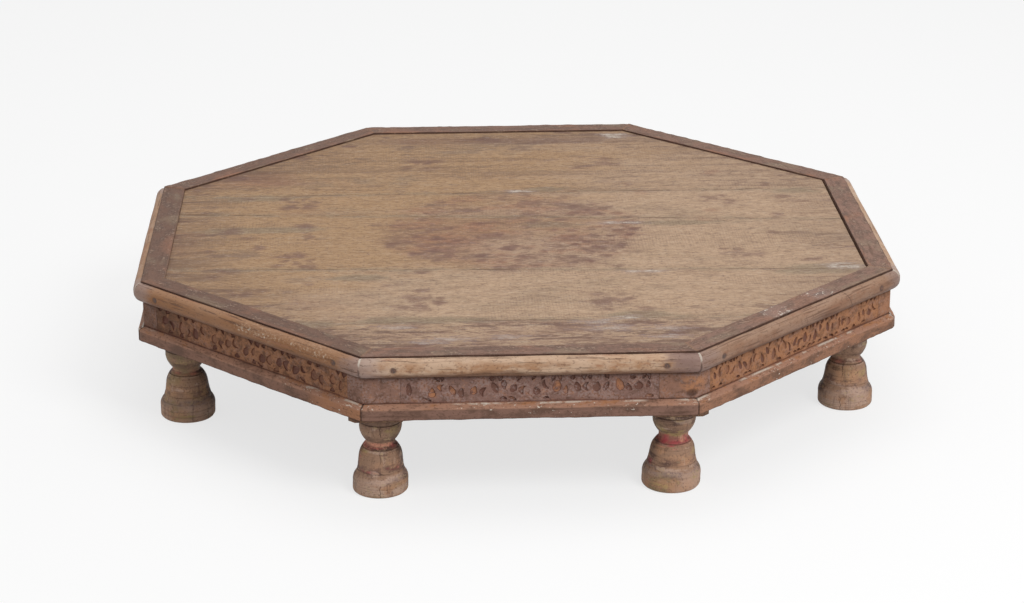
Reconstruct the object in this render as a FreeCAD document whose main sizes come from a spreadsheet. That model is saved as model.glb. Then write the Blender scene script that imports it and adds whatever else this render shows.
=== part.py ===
import FreeCAD, Part
import math
import os
import Sketcher

# A low octagonal wooden table on eight short turned legs. The origin is the middle of the
# floor under it, +Z is up, and its front side looks along -Y. All lengths are millimetres.

SIDES = 8
SIDE_ANGLE = 360.0 / SIDES
# Half a side's length, and a corner's distance along two square axes, as shares of the apothem
HALF_SIDE_SHARE = math.tan(math.radians(SIDE_ANGLE / 2.0))
CORNER_SUM_SHARE = math.sqrt(2.0)
# A step along a diagonal side as a share of its length, on either square axis
DIAGONAL_SHARE = math.sqrt(0.5)

SIDE_NAMES = ("right", "diagonal_back_right", "back", "diagonal_back_left",
              "left", "diagonal_front_left", "front", "diagonal_front_right")

# Each corner by the square side it ends: that side's number, and the end along its own +Y or -Y
CORNERS = {
    "right_back": (0, 1), "back_right": (2, -1), "back_left": (2, 1), "left_back": (4, -1),
    "left_front": (4, 1), "front_left": (6, -1), "front_right": (6, 1), "right_front": (0, -1),
}
# The corners whose legs stand under the two bearers
BEARER_CORNERS = ("back_right", "back_left", "front_left", "front_right")

# The driving sizes, by what they belong to
SIZES = {
    # The whole table, over the rounded nosing; its height is that of the pieces that stand on
    # one another
    "across_flats": 914.0,
    # The mitred border on top, with a ledge inside that the planks lie on
    "border_width": 27.4,
    "border_thick": 24.5,
    "ledge_width": 12.0,
    "ledge_thick": 6.3,
    # The rounded nosing nailed round the border
    "nosing_depth": 10.0,
    "nosing_tall": 22.5,
    "nosing_round": 9.5,
    "nosing_drop": 1.8,
    # The planks of the top
    "plank_thick": 16.0,
    "plank_gap": 0.8,
    "field_gap": 0.5,
    "right_groove": 4.0,
    # The carved boards between the corner posts
    "frieze_inset": 11.0,
    "frieze_tall": 32.0,
    "frieze_thick": 16.0,
    # The corner posts, rebated for the carved boards
    "post_square_face": 42.0,
    "post_diagonal_face": 24.0,
    "post_side_wall": 20.8,
    "post_back_wall": 11.6,
    # The moulded base frame under them
    "base_inset": 4.0,
    "base_wall": 14.5,
    "base_tall": 17.5,
    "base_bevel_drop": 4.5,
    # The two bearers that run from front to back under the base
    "bearer_width": 61.0,
    "bearer_thick": 10.5,
    "bearer_setback": 10.0,
    "bearer_end_setback": 21.0,
    "bearer_shift": 5.5,
    # The battens that hold the planks together
    "batten_width": 50.0,
    "batten_thick": 18.0,
    "batten_post_gap": 8.0,
    "batten_end_gap": 0.5,
    # The turned legs: each step's radius, its height above the step below, and its curve
    "leg_inset": 46.4,
    "foot_radius": 33.0,
    "foot_toe": 4.0,
    "foot_side_tall": 14.0,
    "foot_shoulder_radius": 29.0,
    "foot_shoulder_tall": 11.5,
    "foot_shoulder_curve": 14.0,
    "bell_foot_radius": 27.0,
    "bell_foot_tall": 7.5,
    "bell_top_radius": 25.2,
    "bell_tall": 12.5,
    "bell_shoulder_tall": 14.0,
    "bell_shoulder_curve": 24.0,
    "neck_radius": 17.4,
    "neck_tall": 4.0,
    "neck_curve": 6.0,
    "cup_radius": 24.4,
    "cup_tall": 15.0,
    "cup_curve": 26.0,
    "collar_tall": 15.0,
    # The round tenon on each leg and its mortise
    "tenon_radius": 12.0,
    "tenon_in_post": 20.0,
    "tenon_clearance": 0.15,
    "mortise_spare": 0.5,
    # The nails, and the places they are driven in
    "nail_radius": 1.3,
    "nail_head_radius": 3.0,
    "nail_head_thick": 1.0,
    "nail_point": 3.0,
    "nail_clearance": 0.1,
    "nosing_nail_long": 24.0,
    "nosing_nail_from_corner": 39.0,
    "nosing_nail_sunk": 0.5,
    "frame_nail_long": 30.0,
    "frame_nail_from_middle": 92.0,
    "batten_nail_long": 30.0,
    "hole_spare": 0.5,
    # How far a cut runs past what it cuts
    "overrun": 5.0,
}

# The lines where the planks meet, from the back: how far from the middle each one lies at its
# left and its right end, as a share of the field's half width
SEAM_SHARES = ((0.341, 0.341), (0.169, 0.033), (-0.336, -0.422), (-0.794, -0.794))
PLANK_NAMES = ("back", "middle_back", "middle", "middle_front", "front")
# The width of a nail's blunt point as a share of the nail's
NAIL_TIP_SHARE = 0.2


class Size:
    """A length: its value now, and the expression of driving sizes that gives it."""

    def __init__(self, value, text):
        self.value = value
        self.text = text

    def __add__(self, other):
        return Size(self.value + other.value, "(%s + %s)" % (self.text, other.text))

    def __sub__(self, other):
        return Size(self.value - other.value, "(%s - %s)" % (self.text, other.text))

    def __neg__(self):
        return Size(-self.value, "(0 - %s)" % self.text)

    def __mul__(self, share):
        return Size(self.value * share, "(%s * (%.15f))" % (self.text, share))


def size(name):
    return Size(SIZES[name], "Sizes.%s" % name)


ZERO = Size(0.0, "0")

doc = FreeCAD.newDocument("LowTable")


def fill_sheet():
    """The driving sizes, one named cell each."""
    sheet = doc.addObject("Spreadsheet::Sheet", "Sizes")
    for row, (name, value) in enumerate(SIZES.items(), start=1):
        sheet.set("A%d" % row, name)
        sheet.set("B%d" % row, str(value))
        sheet.setAlias("B%d" % row, name)
    doc.recompute()


# Apothems of the octagons, worked out from the driving sizes
nosing_outer = size("across_flats") * 0.5
border_outer = nosing_outer - size("nosing_depth")
border_inner = border_outer - size("border_width")
ledge_inner = border_inner - size("ledge_width")
field_edge = border_inner - size("field_gap")
frieze_outer = nosing_outer - size("frieze_inset")
leg_axis = frieze_outer - size("leg_inset")
tenon_hole = size("tenon_radius") + size("tenon_clearance")
base_outer = nosing_outer - size("base_inset")
base_inner = leg_axis - tenon_hole - size("base_wall")
bearer_side = base_outer - size("bearer_setback")
bearer_end = base_outer - size("bearer_end_setback")

# Heights above the floor: the steps of a leg, then what stands on it
foot_side_up = size("foot_side_tall")
foot_shoulder_up = foot_side_up + size("foot_shoulder_tall")
bell_foot_up = foot_shoulder_up + size("bell_foot_tall")
bell_top_up = bell_foot_up + size("bell_tall")
neck_foot_up = bell_top_up + size("bell_shoulder_tall")
neck_top_up = neck_foot_up + size("neck_tall")
cup_up = neck_top_up + size("cup_tall")
bearer_bottom = cup_up + size("collar_tall")
base_bottom = bearer_bottom + size("bearer_thick")
frieze_bottom = base_bottom + size("base_tall")
border_bottom = frieze_bottom + size("frieze_tall")
table_top = border_bottom + size("border_thick")
plank_bottom = border_bottom + size("ledge_thick")
nosing_bottom = table_top - size("nosing_drop") - size("nosing_tall")

# A post's reach from its corner and behind its faces, and the battens beside the posts
post_width = size("leg_inset") * HALF_SIDE_SHARE + size("tenon_radius") + size("post_side_wall")
post_depth = size("leg_inset") + size("tenon_radius") + size("post_back_wall")
batten_outer = frieze_outer * HALF_SIDE_SHARE - post_width - size("batten_post_gap")
batten_middle = batten_outer - size("batten_width") * 0.5

# Where the nails go: along a side from its middle, and in from the table's middle
hole_radius = size("nail_radius") + size("nail_clearance")
nosing_nail_along = nosing_outer * HALF_SIDE_SHARE - size("nosing_nail_from_corner")
frame_nail_in = frieze_outer - size("frieze_thick") * 0.5

made = []


def new_body(label, bottom, side=0, forward=ZERO, across=ZERO):
    """A body that stands on the given height, turned to its side and moved in that side's axes."""
    body = doc.addObject("PartDesign::Body", label)
    body.Label = label
    angle = math.radians(side * SIDE_ANGLE)
    place_x = forward * math.cos(angle) + across * -math.sin(angle)
    place_y = forward * math.sin(angle) + across * math.cos(angle)
    turn = FreeCAD.Rotation(FreeCAD.Vector(0, 0, 1), side * SIDE_ANGLE)
    body.Placement = FreeCAD.Placement(FreeCAD.Vector(0, 0, 0), turn)
    body.setExpression("Placement.Base.x", place_x.text)
    body.setExpression("Placement.Base.y", place_y.text)
    body.setExpression("Placement.Base.z", bottom.text)
    made.append(body)
    return body


def new_sketch(body, name, plane, offset=None):
    """A sketch on one of the body's own planes, or at a distance from it."""
    sketch = body.newObject("Sketcher::SketchObject", name)
    origin_plane = [item for item in body.Origin.OriginFeatures if item.Role == plane][0]
    sketch.AttachmentSupport = (origin_plane, [""])
    sketch.MapMode = "FlatFace"
    if offset is not None:
        sketch.setExpression("AttachmentOffset.Base.z", offset.text)
    return sketch


def tie(sketch, kind, first, second, length):
    """A constraint of the given kind, whose length follows the driving sizes."""
    arguments = (kind,) + first + second + (abs(length.value),)
    index = sketch.addConstraint(Sketcher.Constraint(*arguments))
    sketch.setExpression("Constraints[%d]" % index, length.text)


def tie_point(sketch, geometry, end, place):
    """Hold one point of the sketch at a place that follows the driving sizes."""
    ways = (("DistanceX", -2, place[0]), ("DistanceY", -1, place[1]))
    for kind, axis, distance in ways:
        if distance is ZERO:
            sketch.addConstraint(Sketcher.Constraint("PointOnObject", geometry, end, axis))
        elif distance.value > 0:
            tie(sketch, kind, (-1, 1), (geometry, end), distance)
        else:
            tie(sketch, kind, (geometry, end), (-1, 1), -distance)


def vector(place):
    return FreeCAD.Vector(place[0].value, place[1].value, 0)


def arc_between(start, end, radius, bulge):
    """The arc between two places that bulges to the right (1) or left (-1) of the way there."""
    middle = (start + end) * 0.5
    way = end - start
    right = FreeCAD.Vector(way.y, -way.x, 0)
    right.normalize()
    rise = radius - math.sqrt(radius ** 2 - (way.Length / 2.0) ** 2)
    return Part.Arc(start, middle + right * (rise * bulge), end)


def add_outline(sketch, corners, curves=None):
    """A closed outline through the corners; curves turns the line after a corner into an arc.

    Each line's ends are kept as the sketch numbers them, 1 and 2, in the outline's order.
    """
    curves = curves or {}
    count = len(corners)
    ends = []
    for index in range(count):
        start = vector(corners[index])
        finish = vector(corners[(index + 1) % count])
        if index in curves:
            radius, bulge = curves[index]
            line = sketch.addGeometry(arc_between(start, finish, radius.value, bulge), False)
            to_first = (sketch.getPoint(line, 1) - start).Length
            to_last = (sketch.getPoint(line, 2) - start).Length
            ends.append((line, 1, 2) if to_first < to_last else (line, 2, 1))
        else:
            line = sketch.addGeometry(Part.LineSegment(start, finish), False)
            ends.append((line, 1, 2))
    for index in range(count):
        line, first, last = ends[index]
        following = ends[(index + 1) % count]
        sketch.addConstraint(Sketcher.Constraint("Coincident", line, last, following[0], following[1]))
        tie_point(sketch, line, first, corners[index])
        if index in curves:
            tie(sketch, "Radius", (line,), (), curves[index][0])


def add_circle(sketch, centre, radius):
    circle = Part.Circle(vector(centre), FreeCAD.Vector(0, 0, 1), radius.value)
    index = sketch.addGeometry(circle, False)
    tie_point(sketch, index, 3, centre)
    tie(sketch, "Radius", (index,), (), radius)


def pad(body, sketch, length, symmetric=False):
    """Wood of the sketch's outline: up from it, or half each side of it."""
    feature = body.newObject("PartDesign::Pad", "Pad")
    feature.Profile = sketch
    if symmetric:
        feature.SideType = "Symmetric"
    feature.setExpression("Length", length.text)


def cut(body, sketch, depth=None):
    """A pocket both ways from its sketch: right through, or to a depth either side of it."""
    feature = body.newObject("PartDesign::Pocket", "Pocket")
    feature.Profile = sketch
    feature.SideType = "Symmetric"
    if depth is None:
        feature.Type = "ThroughAll"
    else:
        feature.setExpression("Length", (depth * 2.0).text)


def drill(body, name, plane, centres, radius, depth=None, offset=None):
    """Round holes with these centres on one of the body's planes, or at a distance from it."""
    sketch = new_sketch(body, name, plane, offset)
    for centre in centres:
        add_circle(sketch, centre, radius)
    cut(body, sketch, depth)


def mitred_board(label, side, bottom, inner, outer, section, curves=None):
    """A board of the given section along one side, its ends cut on the octagon's corner lines."""
    body = new_body(label, bottom, side)
    profile = new_sketch(body, "Section", "XZ_Plane")
    add_outline(profile, section, curves)
    pad(body, profile, outer * (2.0 * HALF_SIDE_SHARE), symmetric=True)
    low = inner - size("overrun")
    high = outer + size("overrun")
    mitres = new_sketch(body, "Mitres", "XY_Plane")
    for way in (1, -1):
        near = low * (way * HALF_SIDE_SHARE)
        far = high * (way * HALF_SIDE_SHARE)
        add_outline(mitres, [(low, near), (high, far), (low, far)])
    cut(body, mitres)
    return body


def border_board(side, name):
    """One board of the frame on top, with its ledge and the blind holes for the nosing's nails."""
    section = [
        (ledge_inner, ZERO), (border_outer, ZERO), (border_outer, size("border_thick")),
        (border_inner, size("border_thick")), (border_inner, size("ledge_thick")),
        (ledge_inner, size("ledge_thick")),
    ]
    body = mitred_board("border_" + name, side, border_bottom, ledge_inner, border_outer, section)
    depth = size("nosing_nail_long") - size("nosing_depth") + size("nosing_nail_sunk")
    depth = depth + size("nail_head_thick") + size("hole_spare")
    up = nosing_bottom - border_bottom + size("nosing_tall") * 0.5
    centres = [(nosing_nail_along * way, up) for way in (1, -1)]
    drill(body, "NailHoles", "YZ_Plane", centres, hole_radius, depth, border_outer)


def nosing_strip(side, name):
    """One strip of the rounded edge, with its two sunk nail holes."""
    round_start = nosing_outer - size("nosing_round")
    tall = size("nosing_tall")
    section = [
        (border_outer, ZERO), (round_start, ZERO), (nosing_outer, size("nosing_round")),
        (nosing_outer, tall - size("nosing_round")), (round_start, tall), (border_outer, tall),
    ]
    curves = {1: (size("nosing_round"), 1), 3: (size("nosing_round"), 1)}
    body = mitred_board("nosing_" + name, side, nosing_bottom, border_outer, nosing_outer,
                        section, curves)
    centres = [(nosing_nail_along * way, tall * 0.5) for way in (1, -1)]
    drill(body, "NailHoles", "YZ_Plane", centres, hole_radius)
    head = size("nail_head_radius") + size("nail_clearance")
    sunk = size("nosing_nail_sunk") + size("nail_head_thick")
    drill(body, "HeadHoles", "YZ_Plane", centres, head, sunk, nosing_outer)


def base_board(side, name):
    """One board of the base frame: bevelled top edge, half holes for the legs' tenons."""
    tall = size("base_tall")
    section = [
        (base_inner, ZERO), (base_outer, ZERO), (base_outer, tall - size("base_bevel_drop")),
        (frieze_outer, tall), (base_inner, tall),
    ]
    body = mitred_board("base_moulding_" + name, side, base_bottom, base_inner, base_outer, section)
    ends = [(leg_axis, leg_axis * (way * HALF_SIDE_SHARE)) for way in (1, -1)]
    drill(body, "TenonHoles", "XY_Plane", ends, tenon_hole)
    places = [(frame_nail_in, size("frame_nail_from_middle") * way) for way in (1, -1)]
    drill(body, "NailHoles", "XY_Plane", places, hole_radius)


def frieze_board(side, name):
    """One carved board between two posts, with blind nail holes in its lower edge."""
    post_face = size("post_square_face") if side % 2 == 0 else size("post_diagonal_face")
    half = frieze_outer * HALF_SIDE_SHARE - post_face
    inner = frieze_outer - size("frieze_thick")
    body = new_body("frieze_" + name, frieze_bottom, side)
    plan = new_sketch(body, "Plan", "XY_Plane")
    add_outline(plan, [(inner, -half), (frieze_outer, -half), (frieze_outer, half), (inner, half)])
    pad(body, plan, size("frieze_tall"))
    depth = size("frame_nail_long") - size("base_tall") + size("hole_spare")
    places = [(frame_nail_in, size("frame_nail_from_middle") * way) for way in (1, -1)]
    drill(body, "NailHoles", "XY_Plane", places, hole_radius, depth)


def corner_post(name, side, way):
    """A post in a corner: rebates for two carved boards, and a mortise for the leg's tenon."""
    body = new_body("corner_post_" + name, frieze_bottom, side)
    edge = frieze_outer
    corner = edge * HALF_SIDE_SHARE
    thick = size("frieze_thick")
    square = size("post_square_face")
    diagonal = size("post_diagonal_face")

    def on_diagonal(along, deep):
        """A place that far along the diagonal side from the corner, and that far behind its face."""
        step_in = (along + deep) * DIAGONAL_SHARE
        step_on = (along - deep) * DIAGONAL_SHARE
        return (edge - step_in, (corner + step_on) * way)

    outline = [
        (edge, corner * way), (edge, (corner - square) * way), (edge - thick, (corner - square) * way),
        (edge - thick, (corner - post_width) * way), (edge - post_depth, (corner - post_width) * way),
        on_diagonal(post_width, post_depth), on_diagonal(post_width, thick),
        on_diagonal(diagonal, thick), on_diagonal(diagonal, ZERO),
    ]
    plan = new_sketch(body, "Plan", "XY_Plane")
    add_outline(plan, outline)
    pad(body, plan, size("frieze_tall"))
    centre = (leg_axis, leg_axis * (way * HALF_SIDE_SHARE))
    drill(body, "Mortise", "XY_Plane", [centre], tenon_hole, size("tenon_in_post") + size("mortise_spare"))


def turned_leg(name, side, way):
    """A turned leg: round foot, bell, neck and cup, with a round tenon on top."""
    under_bearer = name in BEARER_CORNERS
    top = bearer_bottom if under_bearer else base_bottom
    tenon_top = frieze_bottom + size("tenon_in_post")
    body = new_body("leg_" + name, ZERO, side, leg_axis, leg_axis * (way * HALF_SIDE_SHARE))
    outline = [
        (ZERO, ZERO),
        (size("foot_radius") - size("foot_toe"), ZERO),
        (size("foot_radius"), size("foot_toe")),
        (size("foot_radius"), foot_side_up),
        (size("foot_shoulder_radius"), foot_shoulder_up),
        (size("bell_foot_radius"), bell_foot_up),
        (size("bell_top_radius"), bell_top_up),
        (size("neck_radius"), neck_foot_up),
        (size("neck_radius"), neck_top_up),
        (size("cup_radius"), cup_up),
        (size("cup_radius"), top),
        (size("tenon_radius"), top),
        (size("tenon_radius"), tenon_top),
        (ZERO, tenon_top),
    ]
    curves = {
        1: (size("foot_toe"), 1), 3: (size("foot_shoulder_curve"), 1),
        6: (size("bell_shoulder_curve"), 1), 7: (size("neck_curve"), -1), 8: (size("cup_curve"), 1),
    }
    profile = new_sketch(body, "Profile", "XZ_Plane")
    add_outline(profile, outline, curves)
    turn = body.newObject("PartDesign::Revolution", "Turning")
    turn.Profile = profile
    turn.ReferenceAxis = (profile, ["V_Axis"])
    turn.Angle = 360.0


def bearer(name, way):
    """A flat bearer under the base, set back at its ends, its outer corners cut along the
    diagonal sides."""
    body = new_body("bearer_" + name, bearer_bottom)
    middle = leg_axis * HALF_SIDE_SHARE + size("bearer_shift")
    inner = (middle - size("bearer_width") * 0.5) * way
    outer = middle + size("bearer_width") * 0.5
    corner = (bearer_side * CORNER_SUM_SHARE - bearer_end) * way
    cut_end = bearer_side * CORNER_SUM_SHARE - outer
    outline = [
        (inner, -bearer_end), (corner, -bearer_end), (outer * way, -cut_end),
        (outer * way, cut_end), (corner, bearer_end), (inner, bearer_end),
    ]
    plan = new_sketch(body, "Plan", "XY_Plane")
    add_outline(plan, outline)
    pad(body, plan, size("bearer_thick"))
    axis = leg_axis * (way * HALF_SIDE_SHARE)
    ends = [(axis, leg_axis * end) for end in (1, -1)]
    drill(body, "TenonHoles", "XY_Plane", ends, tenon_hole)


def plank_edges(index):
    """A plank's back and front edge, each as its places at the left and the right end."""
    shares = ((1.0, 1.0),) + SEAM_SHARES + ((-1.0, -1.0),)
    return [[border_inner * share for share in pair] for pair in shares[index:index + 2]]


def plank_nail(index, way):
    """Where a batten's nail enters a plank: in the middle of its width."""
    back, front = plank_edges(index)
    return (batten_middle * way, (back[0] + back[1] + front[0] + front[1]) * 0.25)


def top_plank(index, name):
    """One plank of the top: the strip between two seams, cut to the octagon inside the border."""
    body = new_body("top_plank_" + name, plank_bottom)
    half_gap = size("plank_gap") * 0.5
    back, front = plank_edges(index)
    strip = new_sketch(body, "Strip", "XY_Plane")
    add_outline(strip, [
        (-border_inner, front[0] + half_gap), (border_inner, front[1] + half_gap),
        (border_inner, back[1] - half_gap), (-border_inner, back[0] - half_gap),
    ])
    pad(body, strip, size("plank_thick"))
    right = border_inner - size("right_groove")
    right_corner = field_edge * CORNER_SUM_SHARE - right
    side = field_edge * HALF_SIDE_SHARE
    beyond = border_inner + size("overrun")
    outside = new_sketch(body, "Outside", "XY_Plane")
    add_outline(outside, [(-beyond, -beyond), (beyond, -beyond), (beyond, beyond), (-beyond, beyond)])
    add_outline(outside, [
        (right, -right_corner), (right, right_corner), (side, field_edge), (-side, field_edge),
        (-field_edge, side), (-field_edge, -side), (-side, -field_edge), (side, -field_edge),
    ])
    cut(body, outside)
    depth = size("batten_nail_long") - size("batten_thick") + size("hole_spare")
    places = [plank_nail(index, way) for way in (1, -1)]
    drill(body, "NailHoles", "XY_Plane", places, hole_radius, depth)


def batten(name, way):
    """A batten under the planks, from the front ledge to the back one."""
    body = new_body("batten_" + name, plank_bottom - size("batten_thick"))
    inner = (batten_outer - size("batten_width")) * way
    outer = batten_outer * way
    end = ledge_inner - size("batten_end_gap")
    plan = new_sketch(body, "Plan", "XY_Plane")
    add_outline(plan, [(inner, -end), (outer, -end), (outer, end), (inner, end)])
    pad(body, plan, size("batten_thick"))
    places = [plank_nail(index, way) for index in range(len(PLANK_NAMES))]
    drill(body, "NailHoles", "XY_Plane", places, hole_radius)


def nail(length, base, direction):
    """A round nail: the underside of its flat head on the base, its point along the direction."""
    shank = size(length).value - size("nail_point").value
    radius = size("nail_radius").value
    head_radius = size("nail_head_radius").value
    head = Part.makeCylinder(head_radius, size("nail_head_thick").value, base, -direction)
    stem = Part.makeCylinder(radius, shank, base, direction)
    tip = Part.makeCone(radius, radius * NAIL_TIP_SHARE, size("nail_point").value,
                        base + direction * shank, direction)
    return head.fuse([stem, tip]).removeSplitter()


def nail_group(label, nails):
    """Nails of one kind as one group of separate solids."""
    group = doc.addObject("Part::Feature", label)
    group.Label = label
    group.Shape = Part.makeCompound(nails)
    made.append(group)


def nosing_and_frame_nails():
    """The nails through the nosing into the border, and up through the base into the friezes."""
    nosing = []
    frame = []
    seat = nosing_outer - size("nosing_nail_sunk") - size("nail_head_thick")
    level = nosing_bottom + size("nosing_tall") * 0.5
    for side in range(SIDES):
        turn = FreeCAD.Rotation(FreeCAD.Vector(0, 0, 1), side * SIDE_ANGLE)
        inward = turn.multVec(FreeCAD.Vector(-1, 0, 0))
        for way in (1, -1):
            place = FreeCAD.Vector(seat.value, nosing_nail_along.value * way, level.value)
            nosing.append(nail("nosing_nail_long", turn.multVec(place), inward))
            along = size("frame_nail_from_middle").value * way
            place = FreeCAD.Vector(frame_nail_in.value, along, base_bottom.value)
            frame.append(nail("frame_nail_long", turn.multVec(place), FreeCAD.Vector(0, 0, 1)))
    nail_group("nosing_nails", nosing)
    nail_group("frame_nails", frame)


def batten_nails():
    """The nails up through the battens into the planks."""
    under = plank_bottom - size("batten_thick")
    nails = []
    for index in range(len(PLANK_NAMES)):
        for way in (1, -1):
            x, y = plank_nail(index, way)
            place = FreeCAD.Vector(x.value, y.value, under.value)
            nails.append(nail("batten_nail_long", place, FreeCAD.Vector(0, 0, 1)))
    nail_group("batten_nails", nails)


fill_sheet()
for number, side_name in enumerate(SIDE_NAMES):
    border_board(number, side_name)
    nosing_strip(number, side_name)
    frieze_board(number, side_name)
    base_board(number, side_name)
for corner_name, (side_number, end_way) in CORNERS.items():
    corner_post(corner_name, side_number, end_way)
    turned_leg(corner_name, side_number, end_way)
for side_name, end_way in (("right", 1), ("left", -1)):
    bearer(side_name, end_way)
    batten(side_name, end_way)
for number, plank_name in enumerate(PLANK_NAMES):
    top_plank(number, plank_name)
nosing_and_frame_nails()
batten_nails()
doc.recompute()


def check_document():
    """Stop before writing if any object failed, or a sub-part has no valid shape."""
    for item in doc.Objects:
        if "Invalid" in item.State or "Error" in item.State:
            raise RuntimeError("%s failed: %s" % (item.Label, item.State))
    for item in made:
        if item.Shape.isNull() or not item.Shape.isValid():
            raise RuntimeError("%s has no valid shape" % item.Label)
        for feature in getattr(item, "Group", []):
            if feature.TypeId == "PartDesign::Pocket":
                before = feature.BaseFeature.Shape.Volume
                if not feature.Shape.Volume < before:
                    raise RuntimeError("%s of %s cuts nothing" % (feature.Label, item.Label))


check_document()
os.makedirs("parts", exist_ok=True)
for item in made:
    item.Shape.exportStep("parts/%s.step" % item.Label)
print("wrote", len(made), "sub-parts")
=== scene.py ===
"""A low octagonal wooden table dressed around its fixed frame: worn planks with a faded painted
rosette, a mitred border, a nailed nosing, carved boards between posts, and turned legs."""
import math

import bmesh
import bpy
import numpy as np
from mathutils import Matrix, Vector, noise


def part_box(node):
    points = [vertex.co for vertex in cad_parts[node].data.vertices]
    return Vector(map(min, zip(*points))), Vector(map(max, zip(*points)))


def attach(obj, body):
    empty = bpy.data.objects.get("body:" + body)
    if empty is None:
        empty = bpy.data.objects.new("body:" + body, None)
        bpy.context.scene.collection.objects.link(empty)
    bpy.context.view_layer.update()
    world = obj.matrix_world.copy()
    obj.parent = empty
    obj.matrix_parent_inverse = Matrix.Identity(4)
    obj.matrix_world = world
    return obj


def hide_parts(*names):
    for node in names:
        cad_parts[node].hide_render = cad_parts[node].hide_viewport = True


bl_info = {
    "name": "Low Octagonal Table",
    "version": (1, 0, 0),
    "blender": (4, 5, 0),
    "location": "View3D > Sidebar > Table",
    "description": "Dresses the frame of a low carved table in worn, once painted wood",
    "category": "Object",
}

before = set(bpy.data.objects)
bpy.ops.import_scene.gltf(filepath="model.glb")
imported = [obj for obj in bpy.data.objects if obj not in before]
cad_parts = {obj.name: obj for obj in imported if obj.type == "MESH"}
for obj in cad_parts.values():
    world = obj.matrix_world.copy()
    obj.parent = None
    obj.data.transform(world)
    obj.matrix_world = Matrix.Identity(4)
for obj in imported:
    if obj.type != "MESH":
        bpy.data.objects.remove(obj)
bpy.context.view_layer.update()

MM = 0.001
SIDE_NAMES = ("right", "diagonal_back_right", "back", "diagonal_back_left",
              "left", "diagonal_front_left", "front", "diagonal_front_right")
CORNER_NAMES = ("right_back", "back_right", "back_left", "left_back",
                "left_front", "front_left", "front_right", "right_front")
SIDE_TURN = math.radians(45)
HALF_SIDE_SHARE = math.tan(SIDE_TURN / 2)
PLANK_NAMES = ("back", "middle_back", "middle", "middle_front", "front")
UNDERSIDE_NAMES = ("bearer_right", "bearer_left", "batten_right", "batten_left")
# Each piece's lot number, by its frame node: it moves the wood's pattern, so that none repeats
LOTS = {kind + name: first + number
        for kind, first, names in (("top_plank_", 0, PLANK_NAMES), ("border_", 11, SIDE_NAMES),
                                   ("nosing_", 21, SIDE_NAMES), ("frieze_", 31, SIDE_NAMES),
                                   ("corner_post_", 41, CORNER_NAMES), ("base_moulding_", 51, SIDE_NAMES),
                                   ("leg_", 61, CORNER_NAMES), ("", 71, UNDERSIDE_NAMES))
        for number, name in enumerate(names)}
ROOT = "root"
# Where the nosing's nails are: how far from a side's middle, and how high
NAIL_ALONG = 150.3 * MM
NAIL_UP = 164.5 * MM
# How far a mitred end stays from the mitre's plane
MITRE_GAP = 0.12 * MM
# How long the waves, chips and raised fibres of a worn board are, and how soon a face is an edge
WAVE_LENGTH = 55 * MM
CHIP_LENGTH = 11 * MM
FIBRE_LENGTH = 4.5 * MM
EDGE_GAIN = 3.4
MERGE_DISTANCE = 0.01 * MM
FLAT_ANGLE = math.radians(1)
SHARP_ANGLE = math.radians(38)


def painted(red, green, blue):
    """A colour given as the eye sees it, from 0 to 255, in the renderer's linear light."""
    def linear(value):
        share = value / 255
        return share / 12.92 if share <= 0.04045 else ((share + 0.055) / 1.055) ** 2.4
    return (linear(red), linear(green), linear(blue), 1.0)


def colour(name, description, red, green, blue):
    return bpy.props.FloatVectorProperty(name=name, description=description, subtype="COLOR",
                                         size=4, min=0, max=1, default=painted(red, green, blue))


def length(name, description, millimetres):
    return bpy.props.FloatProperty(name=name, description=description, unit="LENGTH", min=0,
                                   default=millimetres * MM)


class TableSizes(bpy.types.PropertyGroup):
    """Sizes of the wear and the carving, on top of the frame's own sizes."""
    border_width: length("Border width", "Width of the mitred border's top face", 27.4)
    nosing_round: length("Nosing rounding", "Radius of the nosing's outer edges", 9.5)
    bevel_drop: length("Base bevel drop", "How far the base frame's bevel falls", 4.5)
    arris: length("Worn arris", "Radius that use has left on the boards' edges", 1.1)
    wave: length("Hand-planed wave", "How far the faces wander from flat", 0.45)
    chip: length("Edge wear", "How deep the edges are worn and chipped", 0.9)
    carve_depth: length("Carving depth", "Depth of the gouge cuts in the apron", 2.6)
    carve_pitch: length("Carving pitch", "Length of one repeat of the carved vine", 23.0)
    mesh_step: length("Mesh step", "Length of a board's mesh cells", 4.0)
    carve_step: length("Carved mesh step", "Length of the carved faces' mesh cells", 0.6)


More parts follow.
